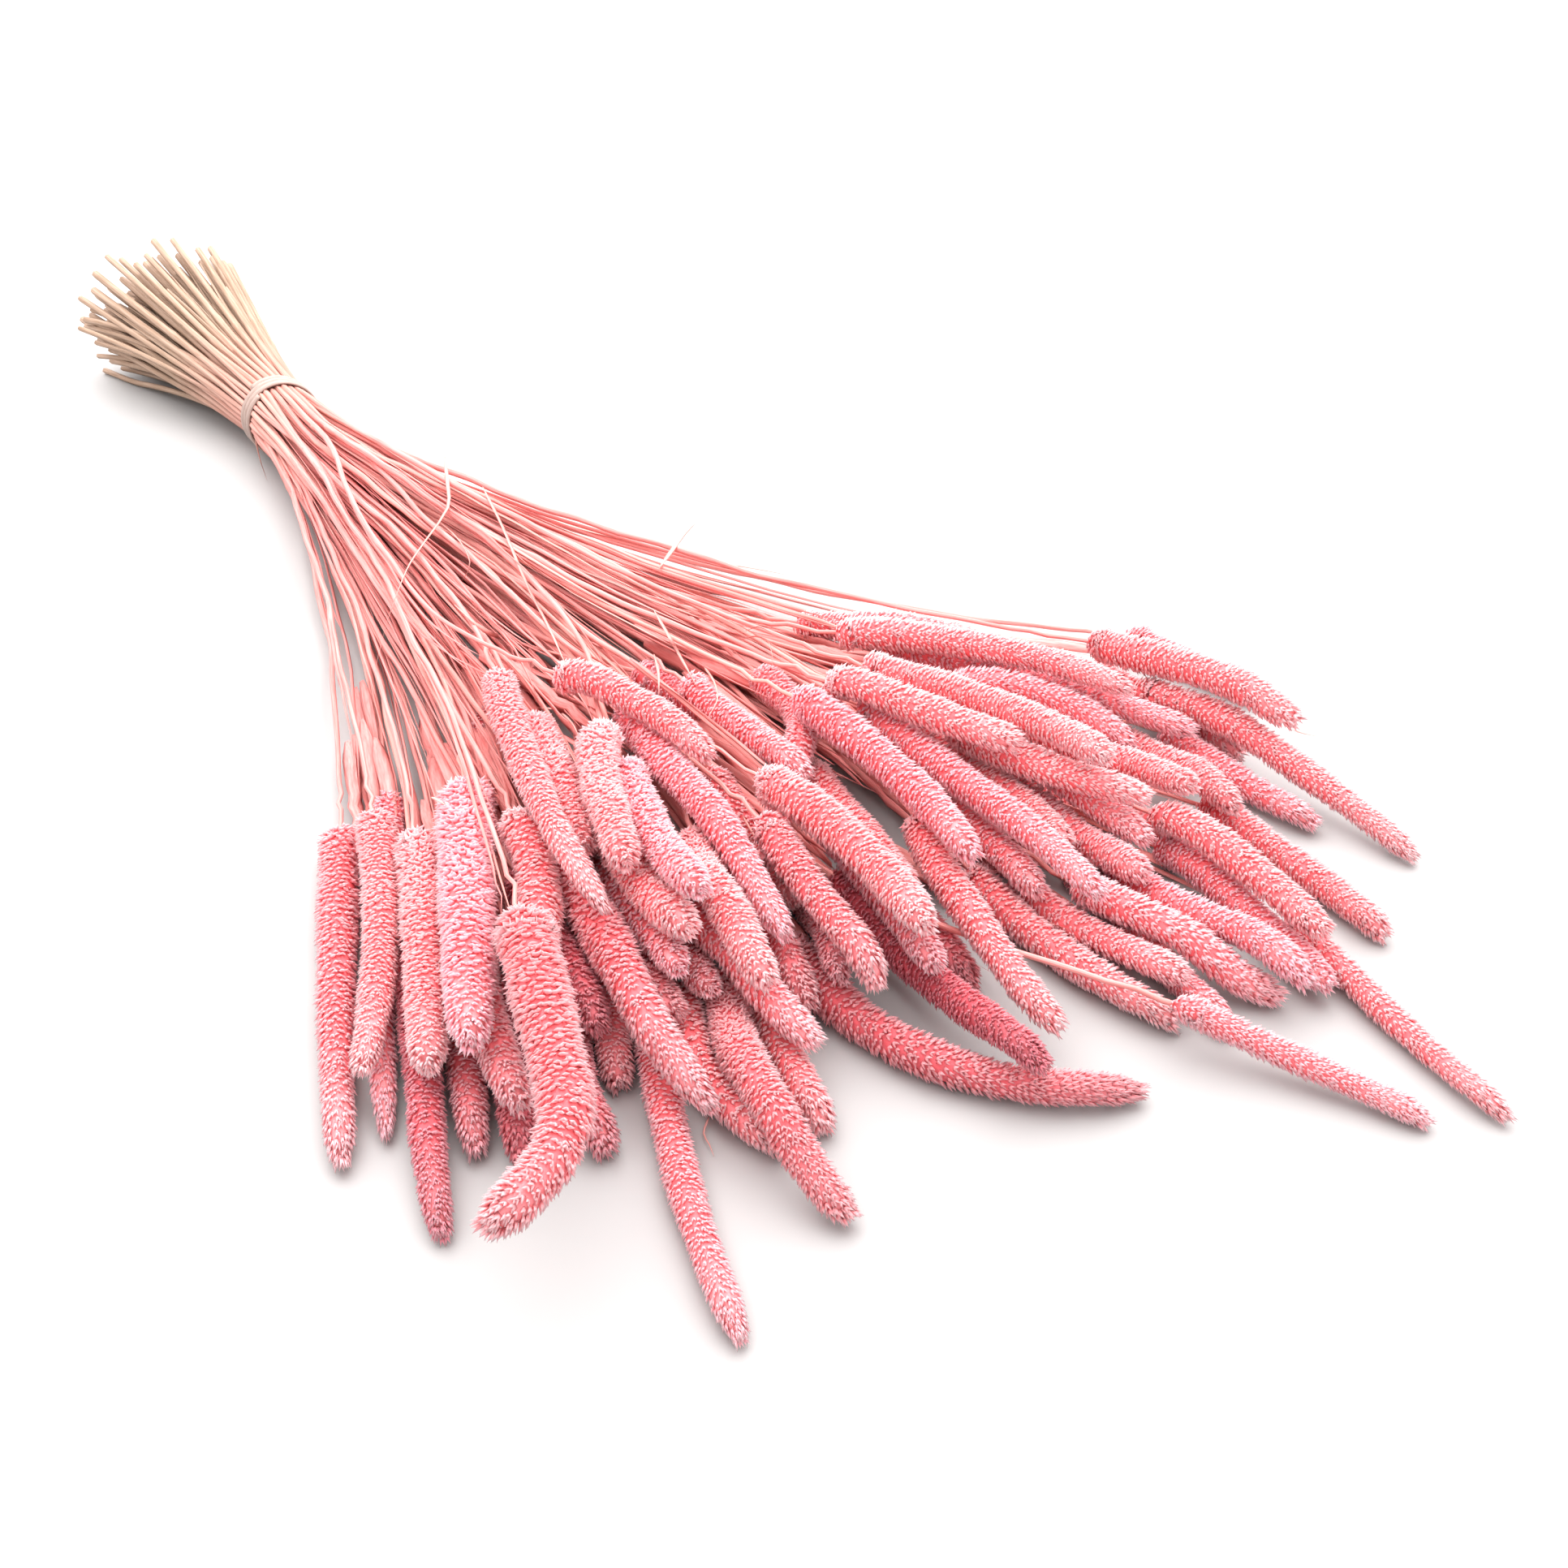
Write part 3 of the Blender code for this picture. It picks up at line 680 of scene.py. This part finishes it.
# Painted shade with some extra dye: a head is mixed towards the dark rose by its "deep" share.
whole = colour_mix(tree, ramp_between(tree, deep, 0.0, 1.0, 0.0, MOST_DYE_AND_SHADE), bright, DYE_AND_SHADE_ROSE)
where = add_node(tree, "ShaderNodeTexCoord").outputs["Object"]
grain = add_node(tree, "ShaderNodeTexNoise", {"Vector": where, "Scale": GRAIN_SCALE, "Detail": 2.0})
tree.links.new(whole, shader.inputs["Base Color"])
tree.links.new(ramp_between(tree, grain.outputs["Fac"], 0.3, 0.7, 0.68, 0.92), shader.inputs["Roughness"])
raise_by(tree, shader, grain.outputs["Fac"], 0.4, GRAIN_HEIGHT)
shader.inputs["Specular IOR Level"].default_value = 0.15
shader.inputs["Subsurface Weight"].default_value = 0.35
shader.inputs["Subsurface Radius"].default_value = (1.0, 0.35, 0.35)
shader.inputs["Subsurface Scale"].default_value = LIGHT_SOAKS
print(head_paint.name, "with", len(tree.nodes), "nodes")

# %% [markdown]
# ## Colour of the stems
#
# The bunch was dipped heads first, so the stems are pink near the heads and keep their straw colour at
# the cut ends. Long fine streaks run along a dried stem. Some stems took almost no dye, so "tint" also
# makes a few of them cream.

# %% The stem material
STRAW = (0.33, 0.215, 0.145, 1)
PALE_STRAW = (0.48, 0.34, 0.255, 1)
STEM_CORAL = (0.68, 0.215, 0.20, 1)
STEM_PINK = (0.80, 0.34, 0.32, 1)
STEM_CREAM = (0.76, 0.37, 0.32, 1)
DYE_STARTS = -0.06
DYE_IS_FULL = 0.08
STREAK_HEIGHT = 0.2 * MM

stem_paint, tree, shader = new_paint("dried stem")
where = add_node(tree, "ShaderNodeTexCoord").outputs["Object"]
from_band = add_node(tree, "ShaderNodeSeparateXYZ", {"Vector": where}).outputs["X"]
streaks = fibres(tree, 30.0, 2.2)
tint = attribute_of(tree, "tint")
undyed = colour_mix(tree, streaks, STRAW, PALE_STRAW)
pinks = colour_mix(tree, ramp_between(tree, streaks, 0.0, 0.8), STEM_CORAL, STEM_PINK)
blush = colour_mix(tree, ramp_between(tree, tint, 0.75, 1.1), pinks, STEM_CREAM)
whole = colour_mix(tree, ramp_between(tree, from_band, DYE_STARTS, DYE_IS_FULL), undyed, blush)
tree.links.new(whole, shader.inputs["Base Color"])
tree.links.new(ramp_between(tree, streaks, 0.0, 1.0, 0.8, 0.6), shader.inputs["Roughness"])
shader.inputs["Specular IOR Level"].default_value = 0.3
raise_by(tree, shader, streaks, 0.5, STREAK_HEIGHT)
print(stem_paint.name, "with", len(tree.nodes), "nodes")

# %% [markdown]
# ## Dressing every stalk
#
# Each stalk gets a copy of the straight stem and of a straight head, bent onto its line and joined in one
# mesh. A curve modifier could bend them too, but numpy does all the points of a head at once. The head
# starts at the ring where the frame's tube swells, and long heads narrow more towards their tips. A dried
# stem is never quite straight, so its line is pushed a millimetre or so from side to side, most of all
# just below the head, where a soft young stem shrivels, but not in the band.

# %% A slightly crooked line
CROOK = 0.6 * MM
NECK = 26 * MM
NECK_CROOK = 0.9 * MM
WAVE_LENGTHS = (0.09, 0.05, 0.028)
KINK_LENGTHS = (0.011, 0.017)
CLEARS_TABLE = 0.8 * MM


def crooked(points, held_until, free_until):
    """The line with slow sideways waves between two places along it, and short kinks at its neck."""
    run = distances_along(points)
    share = np.clip((run - held_until) / (free_until - held_until), 0, 1)
    freedom = np.sin(math.pi * share) ** 0.7
    neck = np.clip(1 - np.abs(run - free_until + NECK / 2) / (NECK / 2), 0, 1)
    _, sides, ups = carried_directions(points)
    moved = points.copy()
    for across in (sides, ups):
        wave = np.zeros(len(run))
        for length in WAVE_LENGTHS:
            phase = random.uniform(0, 2 * math.pi)
            strength = length / WAVE_LENGTHS[0] * random.uniform(0.3, 1.0)
            wave += strength * np.sin(2 * math.pi * run / length + phase)
        kinks = np.sin(2 * math.pi * run / random.uniform(*KINK_LENGTHS) + random.uniform(0, 6))
        moved += across * (CROOK * wave * freedom + NECK_CROOK * kinks * neck)[:, None]
    moved[:, 2] = np.maximum(moved[:, 2], CLEARS_TABLE)
    return moved


# %% A bent stem
# A stem is thickest at its cut end. Its radius in mm is given at shares of its length.
STEM_SHARES = (0, 0.25, 0.6, 0.9, 1.0)
STEM_RADII = (1.5, 1.25, 1.05, 0.72, 0.62)


def give_number(mesh, name, value):
    """Stores one number on the whole mesh, for a material to read."""
    layer = mesh.attributes.new(name, "FLOAT", "POINT")
    layer.data.foreach_set("value", np.full(len(mesh.vertices), value))


def stem_mesh(points, end, thickness):
    stem = straight_stem.copy()
    bend(
        stem,
        points,
        along=lambda x: x * end,
        across=lambda x: thickness * MM * np.interp(x, STEM_SHARES, STEM_RADII),
    )
    return stem


# %% Joining meshes into one piece
def joined(name, meshes, paints):
    """One object made of several meshes, each with its own paint."""
    shape = bmesh.new()
    paint_of = []
    for number, mesh in enumerate(meshes):
        shape.from_mesh(mesh)
        paint_of += [number] * (len(shape.faces) - len(paint_of))
    kinds = list(dict.fromkeys(paints))
    for number, face in zip(paint_of, shape.faces):
        face.smooth = True
        face.material_index = kinds.index(paints[number])
    mesh = bpy.data.meshes.new(name)
    shape.to_mesh(mesh)
    shape.free()
    for kind in kinds:
        mesh.materials.append(kind)
    piece = bpy.data.objects.new(name, mesh)
    bpy.context.scene.collection.objects.link(piece)
    return piece


# %% Where a point shows in the photograph
def seen_at(point):
    """The pixel of the photograph where a point of the model shows."""
    away = eye.rotation_euler.to_matrix().transposed() @ (Vector(point) - eye.location)
    half = PHOTO_SIDE / 2
    return np.array([half - FOCAL_PIXELS * away.x / away.z, half + FOCAL_PIXELS * away.y / away.z])


print("the band shows at", seen_at(band_middle).round())

# %% Heads painted darker: more dye and painted shade
# The middle of each, in the photograph's pixels, and how much darker it is painted, partly as more dye and
# partly as painted shade. The others are painted a little darker, as painted shade, the lower they lie.
DYED_AND_SHADED_HEADS = {
    (513, 1380): 0.7, (568, 1330): 0.9, (612, 1290): 0.8, (632, 1380): 0.9, (735, 1370): 0.8,
    (728, 1260): 0.8, (690, 1190): 0.7, (815, 1215): 0.6, (990, 1340): 0.5, (1180, 1310): 0.8,
    (1150, 1210): 0.6, (980, 1150): 0.5, (1040, 1150): 0.6, (1120, 1130): 0.5, (930, 1350): 0.4,
}
DEEP_REACH = 1.4
DEEP_FADES = 60
# Heads lying low are painted darker as shade, by up to this share.
LOW_HEIGHTS = (7 * MM, 22 * MM)
LOW_SHADE_SHARES = (0.12, 0.0)


def dye_and_shade_share(middle):
    """How much darker a head is painted, as more dye and painted shade: the nearest one read in the
    photograph, or painted shade by how low it lies.
    """
    here = seen_at(middle)
    shares = [
        share * max(0.0, DEEP_REACH - math.dist(here, spot) / DEEP_FADES)
        for spot, share in DYED_AND_SHADED_HEADS.items()
    ]
    return max(max(shares), np.interp(middle[2], LOW_HEIGHTS, LOW_SHADE_SHARES))


print("deep heads", len(DYED_AND_SHADED_HEADS))

# %% A whole stalk
HEAD_SWELLS_AT = 1.5 * MM
ROOT_IN_HEAD = 4.0 * MM
HELD_BY_BAND = 12 * MM
FAN_SIDES = (-0.02, 0.06)
FULLNESS = (1.16, 1.04)
SHORT_TAPER = 0.13
LONG_TAPER = 0.32
TAPERS_FROM = 70
TAPERS_OVER = 50
LUMPS = 0.035
STEM_THICKNESS = (0.85, 1.1)
stem_runs = []


def stalk_piece(name, line, radii):
    """One stalk: stem and head on its line. Its stem's run is kept for the leaves."""
    points = smooth_line(line)
    run = distances_along(points)
    base = int(np.argmax(radii > HEAD_SWELLS_AT)) - 1
    start = run[np.argmin(np.linalg.norm(points - line[base], axis=1))]
    band_at = run[np.argmin(np.abs(points[:, 0]))]
    points = crooked(points, band_at + HELD_BY_BAND, start)
    length = run[-1] - start
    thick = radii[base + 1 :].max()
    fullness = np.interp(line[base][1], FAN_SIDES, FULLNESS)
    full, straight = min(heads, key=lambda item: abs(item[0] * MM - length))
    longness = min(max((length / MM - TAPERS_FROM) / TAPERS_OVER, 0), 1)
    taper = SHORT_TAPER + LONG_TAPER * longness + random.uniform(-0.04, 0.1)
    lump = random.uniform(0, 2 * math.pi)
    head = straight.copy()
    head.transform(Matrix.Rotation(random.uniform(0, 2 * math.pi), 4, "X"))
    bend(
        head,
        points,
        along=lambda x: start + x / full * length,
        across=lambda x: fullness
        * thick
        / HEAD_RADIUS
        * (1 - taper * np.clip(x / full, 0, 1) ** 2)
        * (1 + LUMPS * np.sin(0.21 * x + lump)),
    )
    stem = stem_mesh(points, start + ROOT_IN_HEAD, random.uniform(*STEM_THICKNESS))
    tint = random.uniform(0, 1)
    middle = points[np.argmin(np.abs(run - start - length / 2))]
    give_number(head, "tint", tint)
    # The whole head's painted shade and extra dye.
    give_number(head, "deep", min(1.0, dye_and_shade_share(middle)))
    give_number(stem, "tint", tint)
    stem_runs.append((points, band_at, start))
    return joined(name, [stem, head], [stem_paint, head_paint])


# %% Dress the stalks
for number, (node, line, radii) in enumerate(stalk_lines):
    piece = stalk_piece(f"grass_{number + 1:02d}", line, radii)
    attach(piece, "root")
    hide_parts(node)

# %% [markdown]
# ## The band
#
# A narrow beige tape, slightly shiny, is wound three times round the waist of the bunch. A ring with
# grooves would look cast, and a curve would twist, so a flat tube is bent onto a screw line round the
# bundle, with its own directions across, and what would go through the table is pressed flat against it.

# %% The band's material
TAPE_BEIGE = (0.40, 0.29, 0.25, 1)
TAPE_SHADE = (0.30, 0.20, 0.165, 1)
THREAD_HEIGHT = 0.15 * MM
tape_paint, tree, shader = new_paint("wound tape")
threads = fibres(tree, 90.0, 3.0)
tree.links.new(colour_mix(tree, threads, TAPE_SHADE, TAPE_BEIGE), shader.inputs["Base Color"])
tree.links.new(ramp_between(tree, threads, 0.0, 1.0, 0.42, 0.28), shader.inputs["Roughness"])
raise_by(tree, shader, threads, 0.4, THREAD_HEIGHT)
print(tape_paint.name, "with", len(tree.nodes), "nodes")

# %% Wind the tape
TAPE_TURNS = 3
TAPE_PITCH = 2.9 * MM
TAPE_HALF_WIDTH = 1.75 * MM
TAPE_HALF_THICKNESS = 0.65 * MM
TAPE_START = -0.6
band_radius = (band_high.y - band_low.y) / 2 - TAPE_HALF_THICKNESS
axis_height = band_high.z - band_radius - TAPE_HALF_THICKNESS
turn = np.linspace(0, 2 * math.pi * TAPE_TURNS, 200)
screw = np.column_stack(
    [
        band_middle.x + TAPE_PITCH * (turn / (2 * math.pi) - TAPE_TURNS / 2),
        band_middle.y + band_radius * np.sin(turn + TAPE_START),
        axis_height + band_radius * np.cos(turn + TAPE_START),
    ]
)
tangents, _, _ = carried_directions(screw)
level = np.array([1.0, 0.0, 0.0]) - tangents * tangents[:, :1]
level /= np.linalg.norm(level, axis=1)[:, None]
tape = straight_tape.copy()
pressed = points_of(tape) * (1.0, TAPE_HALF_WIDTH, TAPE_HALF_THICKNESS)
tape.vertices.foreach_set("co", pressed.reshape(-1))
bend(
    tape,
    screw,
    along=lambda x: x * distances_along(screw)[-1],
    across=lambda x: np.ones_like(x),
    directions=(tangents, level, np.cross(tangents, level)),
)
give_number(tape, "tint", 0.5)
band = joined("wound_band", [tape], [tape_paint])
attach(band, "root")
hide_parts("tie")
print("band", len(band.data.polygons), "faces, radius in mm", round(1000 * band_radius, 1))

# %% [markdown]
# ## Dried leaves
#
# Narrow dried leaves cling to the stems. On the real grass they have curled into flat ribbons, so the
# straight leaf is pressed flat, twisted about itself and bent onto a line. A first kind starts at a
# stem's line and drifts off it. All leaves and straws become one piece at the end.

# %% The leaf material
LEAF_CORAL = (0.70, 0.20, 0.19, 1)
LEAF_BLUSH = (0.80, 0.34, 0.32, 1)
LEAF_CREAM = (0.76, 0.38, 0.34, 1)
LEAF_DYE_IS_FULL = 0.06
VEIN_HEIGHT = 0.2 * MM
leaf_paint, tree, shader = new_paint("dried leaf")
where = add_node(tree, "ShaderNodeTexCoord").outputs["Object"]
from_band = add_node(tree, "ShaderNodeSeparateXYZ", {"Vector": where}).outputs["X"]
veins = fibres(tree, 12.0, 4.0)
pinks = colour_mix(tree, veins, LEAF_CORAL, LEAF_BLUSH)
blush = colour_mix(tree, ramp_between(tree, attribute_of(tree, "tint"), 0.65, 1.0), pinks, LEAF_CREAM)
undyed = colour_mix(tree, veins, STRAW, PALE_STRAW)
whole = colour_mix(tree, ramp_between(tree, from_band, DYE_STARTS, LEAF_DYE_IS_FULL), undyed, blush)
tree.links.new(whole, shader.inputs["Base Color"])
tree.links.new(ramp_between(tree, veins, 0.0, 1.0, 0.8, 0.62), shader.inputs["Roughness"])
shader.inputs["Specular IOR Level"].default_value = 0.3
raise_by(tree, shader, veins, 0.5, VEIN_HEIGHT)
print(leaf_paint.name, "with", len(tree.nodes), "nodes")

# %% One leaf on a line
LEAF_FLATNESS = 0.16


def leaf_mesh(points, width, twist, tint):
    """A flat dried leaf along a line: twist is how far it turns about itself, in turns."""
    leaf = straight_leaf.copy()
    flat = points_of(leaf) * (1.0, 1.0, LEAF_FLATNESS)
    angle = 2 * math.pi * (twist * flat[:, 0] + tint)
    turned = flat.copy()
    turned[:, 1] = flat[:, 1] * np.cos(angle) - flat[:, 2] * np.sin(angle)
    turned[:, 2] = flat[:, 1] * np.sin(angle) + flat[:, 2] * np.cos(angle)
    leaf.vertices.foreach_set("co", turned.reshape(-1))
    length = distances_along(points)[-1]
    bend(leaf, points, along=lambda x: x * length, across=lambda x: width / 2 * np.ones_like(x))
    give_number(leaf, "tint", tint)
    return leaf


# %% Leaves that cling to the stems
CLINGING_LENGTHS = (0.07, 0.17)
CLINGING_WIDTHS = (1.3, 2.6)
leaves = []
for points, band_at, start in stem_runs:
    run = distances_along(points)
    _, sides, ups = carried_directions(points)
    begins = random.uniform(band_at + HELD_BY_BAND, start - 90 * MM)
    ends = min(begins + random.uniform(*CLINGING_LENGTHS), start - 5 * MM)
    part = (run >= begins) & (run <= ends)
    share = np.linspace(0, 1, part.sum())
    angle = random.uniform(0, 2 * math.pi)
    away = math.cos(angle) * sides[part] + math.sin(angle) * ups[part]
    drift = 0.9 * MM + random.uniform(0.5, 4.0) * MM * share**2
    line = points[part] + away * drift[:, None]
    line[:, 2] = np.maximum(line[:, 2], CLEARS_TABLE)
    width = random.uniform(*CLINGING_WIDTHS) * MM
    leaves.append(leaf_mesh(line, width, random.uniform(-1.0, 1.0), random.uniform(0, 1)))
print("leaves on the stems", len(leaves))

# %% [markdown]
# ## Leaves that fill the sheaf
#
# The real sheaf looks solid between the band and the heads, because old leaves lie between all its
# stems. Scattering them at random would push them through each other, so each one runs from behind the
# band between two neighbouring stems, at a mixed share of both lines, and ends at their heads.

# %% A place along a stem
def at_shares(points, band_at, start, shares):
    """Points of a stem at shares of its way from its cut end to the band (below 0) and on to its head."""
    run = distances_along(points)
    place = np.where(shares < 0, band_at * (1 + shares), band_at + (start - band_at) * shares)
    return np.column_stack([np.interp(place, run, points[:, axis]) for axis in range(3)])


# %% The filling leaves
# Neighbours are picked a little over halfway to the heads, where the stems have spread out.
FILLING_LEAVES = 260
SPREAD_OUT = np.array([0.6])
WIDE_CHOICE = 9
halfway = np.array([at_shares(*stem, SPREAD_OUT)[0] for stem in stem_runs])
FILLING_WIDTHS = (1.8, 3.2)
for number in range(FILLING_LEAVES):
    one = number % len(stem_runs)
    near = np.argsort(np.linalg.norm(halfway - halfway[one], axis=1))[1 : WIDE_CHOICE + 1]
    other = int(random.choice(near))
    mixed = np.linspace(random.uniform(0, 1), random.uniform(0, 1), 60)[:, None]
    shares = np.linspace(-random.uniform(0.7, 0.95), min(random.uniform(0.6, 1.2), 1.0), 60)
    line = (1 - mixed) * at_shares(*stem_runs[one], shares) + mixed * at_shares(*stem_runs[other], shares)
    line[:, 2] = np.maximum(line[:, 2], CLEARS_TABLE)
    width = random.uniform(*FILLING_WIDTHS) * MM
    leaves.append(leaf_mesh(line, width, random.uniform(-1.2, 1.2), random.uniform(0, 1)))
print("with the filling leaves", len(leaves))

# %% [markdown]
# ## Leaves among the heads
#
# Between the heads the photograph shows deep pink and hardly any table. Wide leaves lie low there, each
# between the bases of two neighbouring heads, and reach a centimetre or two past them. More heads would
# fill the gaps too, but they would have to lie inside each other.

# %% The low leaves
LOW_LEAVES = 200
LOW_WIDTHS = (4.0, 7.0)
LOW_BEYOND = (10, 26)
LOWERED = 0.6
CLOSE_CHOICE = 5
bases = np.array([at_shares(*stem, np.array([1.0]))[0] for stem in stem_runs])
for number in range(LOW_LEAVES):
    one = number % len(stem_runs)
    near = np.argsort(np.linalg.norm(bases - bases[one], axis=1))[1 : CLOSE_CHOICE + 1]
    other = int(random.choice(near))
    beyond = random.uniform(*LOW_BEYOND) * MM / (stem_runs[one][2] - stem_runs[one][1])
    shares = np.linspace(random.uniform(0.72, 0.85), 1 + beyond, 40)
    mixed = random.uniform(0.35, 0.65)
    line = (1 - mixed) * at_shares(*stem_runs[one], shares) + mixed * at_shares(*stem_runs[other], shares)
    line[:, 2] = np.maximum(line[:, 2] * LOWERED, 1.2 * MM)
    width = random.uniform(*LOW_WIDTHS) * MM
    leaves.append(leaf_mesh(line, width, random.uniform(-0.5, 0.5), random.uniform(0, 0.5)))
print("with the low leaves", len(leaves))

# %% [markdown]
# ## Straws in the band and at the cut ends
#
# A tied bunch is packed tight, with more stems at its waist than there are heads. The frame's stalks
# leave gaps there, so short round straws fill them. They are the straight leaf with its width put back,
# because a straw needs no joints, and each follows the stem next to it. A ring of them stands just inside
# the tape. The others widen the brush of cut ends, which sags to the table on its underside.

# %% One straw on a line
STRAW_CLEARS_TABLE = 1.3 * MM
STRAW_SHARES = (0, 0.8, 1.0)
STRAW_SIZES = (1.0, 0.9, 0.15)


def straw_mesh(line, thick):
    """A round straw, cut off square at the foot and thinned at the end."""
    straw = straight_leaf.copy()
    rod = points_of(straw)
    rod[:, 1:] /= np.array([leaf_width(x) for x in rod[:, 0]])[:, None]
    straw.vertices.foreach_set("co", rod.reshape(-1))
    line[:, 2] = np.maximum(line[:, 2], STRAW_CLEARS_TABLE)
    bend(
        straw,
        line,
        along=lambda x: x * distances_along(line)[-1],
        across=lambda x: thick * np.interp(x, STRAW_SHARES, STRAW_SIZES),
    )
    give_number(straw, "tint", random.uniform(0, 1))
    return straw


# %% The ring of straws
# Each is shifted from the nearest stem to its own spot in the ring, and the shift fades along the stem.
RING_STRAWS = 34
RING_FADES = 30 * MM
IN_BAND = np.array([0.0])
in_band = np.array([at_shares(*stem, IN_BAND)[0] for stem in stem_runs])
for number in range(RING_STRAWS):
    angle = 2 * math.pi * number / RING_STRAWS
    thick = random.uniform(1.1, 1.4) * MM
    out = band_radius - TAPE_HALF_THICKNESS - thick - random.uniform(0, 0.5) * MM
    spot = np.array([0, band_middle.y + out * math.sin(angle), axis_height + out * math.cos(angle)])
    nearest = np.linalg.norm((in_band - spot)[:, 1:], axis=1).argmin()
    shares = np.linspace(-random.uniform(0.8, 1.0), random.uniform(0.3, 0.5), 50)
    line = at_shares(*stem_runs[nearest], shares)
    shift = (spot - in_band[nearest]) * (0, 1, 1)
    line += shift * np.exp(-((line[:, :1] / RING_FADES) ** 2))
    leaves.append(straw_mesh(line, thick))
print("with the ring of straws", len(leaves))

# %% The loose straws
LOOSE_STRAWS = 110
LOOSE_RADII = (1.0, 1.4)
MOST_SAG = 22 * MM
for number in range(LOOSE_STRAWS):
    one = stem_runs[int(random.integers(len(stem_runs)))]
    place = at_shares(*one, SPREAD_OUT)[0]
    near = np.argsort(np.linalg.norm(halfway - place, axis=1))[1 : CLOSE_CHOICE + 1]
    other = stem_runs[int(random.choice(near))]
    shares = np.linspace(-random.uniform(0.86, 1.0), random.uniform(0.12, 0.35), 40)
    mixed = random.uniform(-0.1, 1.1)
    line = (1 - mixed) * at_shares(*one, shares) + mixed * at_shares(*other, shares)
    spread = random.uniform(0.1, 0.5) * np.clip(-shares, 0, 1) ** 2
    from_axis = line - np.array([0, band_middle.y, axis_height])
    line[:, 1] += np.minimum(from_axis[:, 1], 0) * spread
    line[:, 2] += np.minimum(from_axis[:, 2], 0) * spread
    line[:, 2] -= random.uniform(0, MOST_SAG) * np.clip(-shares, 0, 1) ** 2
    leaves.append(straw_mesh(line, random.uniform(*LOOSE_RADII) * MM))
print("with the loose straws", len(leaves))

# %% [markdown]
# ## Curled leaves on top
#
# A few curled leaves and thin awns stand out in the photograph. Their lines are read there, as pixels
# along each, and laid on the model: a ray from the camera finds what lies under each point, and the leaf
# is carried just over the highest of it. Placing them by hand in 3-D would take many more tries.

# %% Lines read in the photograph
# The pixels along each leaf, and its width in mm
PICTURE_LEAVES = [
    ([(548, 562), (552, 600), (553, 622), (542, 642), (520, 672), (500, 704), (476, 770), (456, 850)], 1.6),
    ([(538, 640), (556, 655), (571, 673), (579, 692), (576, 706), (566, 718)], 1.5),
    ([(595, 600), (622, 655), (650, 722), (676, 772), (700, 826)], 1.8),
    ([(806, 752), (822, 780), (842, 816), (860, 848)], 1.5),
    ([(806, 806), (811, 826), (812, 858)], 1.2),
    ([(868, 822), (880, 840), (884, 862), (872, 884)], 1.0),
    ([(948, 792), (952, 812), (950, 834)], 1.0),
    ([(918, 778), (934, 772), (950, 780), (960, 790)], 1.2),
    ([(912, 788), (930, 784), (944, 788), (954, 798)], 1.0),
    ([(532, 982), (540, 986), (549, 992)], 1.4),
    ([(560, 745), (600, 778), (660, 798), (712, 812)], 1.8),
    ([(650, 872), (682, 874), (704, 890), (716, 914)], 1.0),
    ([(812, 700), (828, 678), (842, 659), (858, 643)], 2.0),
    ([(314, 536), (317, 552), (321, 568), (329, 592)], 1.0),
    ([(1588, 898), (1604, 903), (1622, 907), (1643, 912)], 0.6),
    ([(874, 1376), (867, 1396), (874, 1410), (880, 1426)], 0.6),
]
print("curled leaves", len(PICTURE_LEAVES))

# %% From a line in the photograph to one on the model
PIXEL_SCALE = 0.25 * MM
LIE_OVER = 3
LIE_ABOVE = 1.0 * MM
SMOOTH_OVER = 5
bpy.context.view_layer.update()
seen_by_ray = bpy.context.evaluated_depsgraph_get()


def ray_of(pixel):
    """The direction from the camera through a pixel of the photograph."""
    half = PHOTO_SIDE / 2
    across = (pixel[0] - half) / FOCAL_PIXELS
    return eye.rotation_euler.to_matrix() @ Vector((across, (half - pixel[1]) / FOCAL_PIXELS, -1))


def carried_line(pixels):
    """A line seen at these pixels that lies on whatever is highest under it or just beside it."""
    flat = smooth_line(np.array([(x, y, 0) for x, y in pixels]) * PIXEL_SCALE) / PIXEL_SCALE
    rays = [ray_of(pixel) for pixel in flat]
    hits = np.array([bpy.context.scene.ray_cast(seen_by_ray, eye.location, ray)[1].z for ray in rays])
    highest = np.array([hits[max(0, i - LIE_OVER) : i + LIE_OVER + 1].max() for i in range(len(hits))])
    padded = np.pad(highest, SMOOTH_OVER // 2, mode="edge")
    even = np.convolve(padded, np.ones(SMOOTH_OVER) / SMOOTH_OVER, mode="valid") + LIE_ABOVE
    return np.array([eye.location + ray * ((z - eye.location.z) / ray.z) for ray, z in zip(rays, even)])


# %% All leaves and straws in one piece
for pixels, width in PICTURE_LEAVES:
    line = carried_line(pixels)
    leaves.append(leaf_mesh(line, width * MM, random.uniform(-0.4, 0.4), random.uniform(0.8, 1.0)))
dried_leaves = joined("dried_leaves", leaves, [leaf_paint] * len(leaves))
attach(dried_leaves, "root")
print("leaves", len(leaves), "faces", len(dried_leaves.data.polygons))
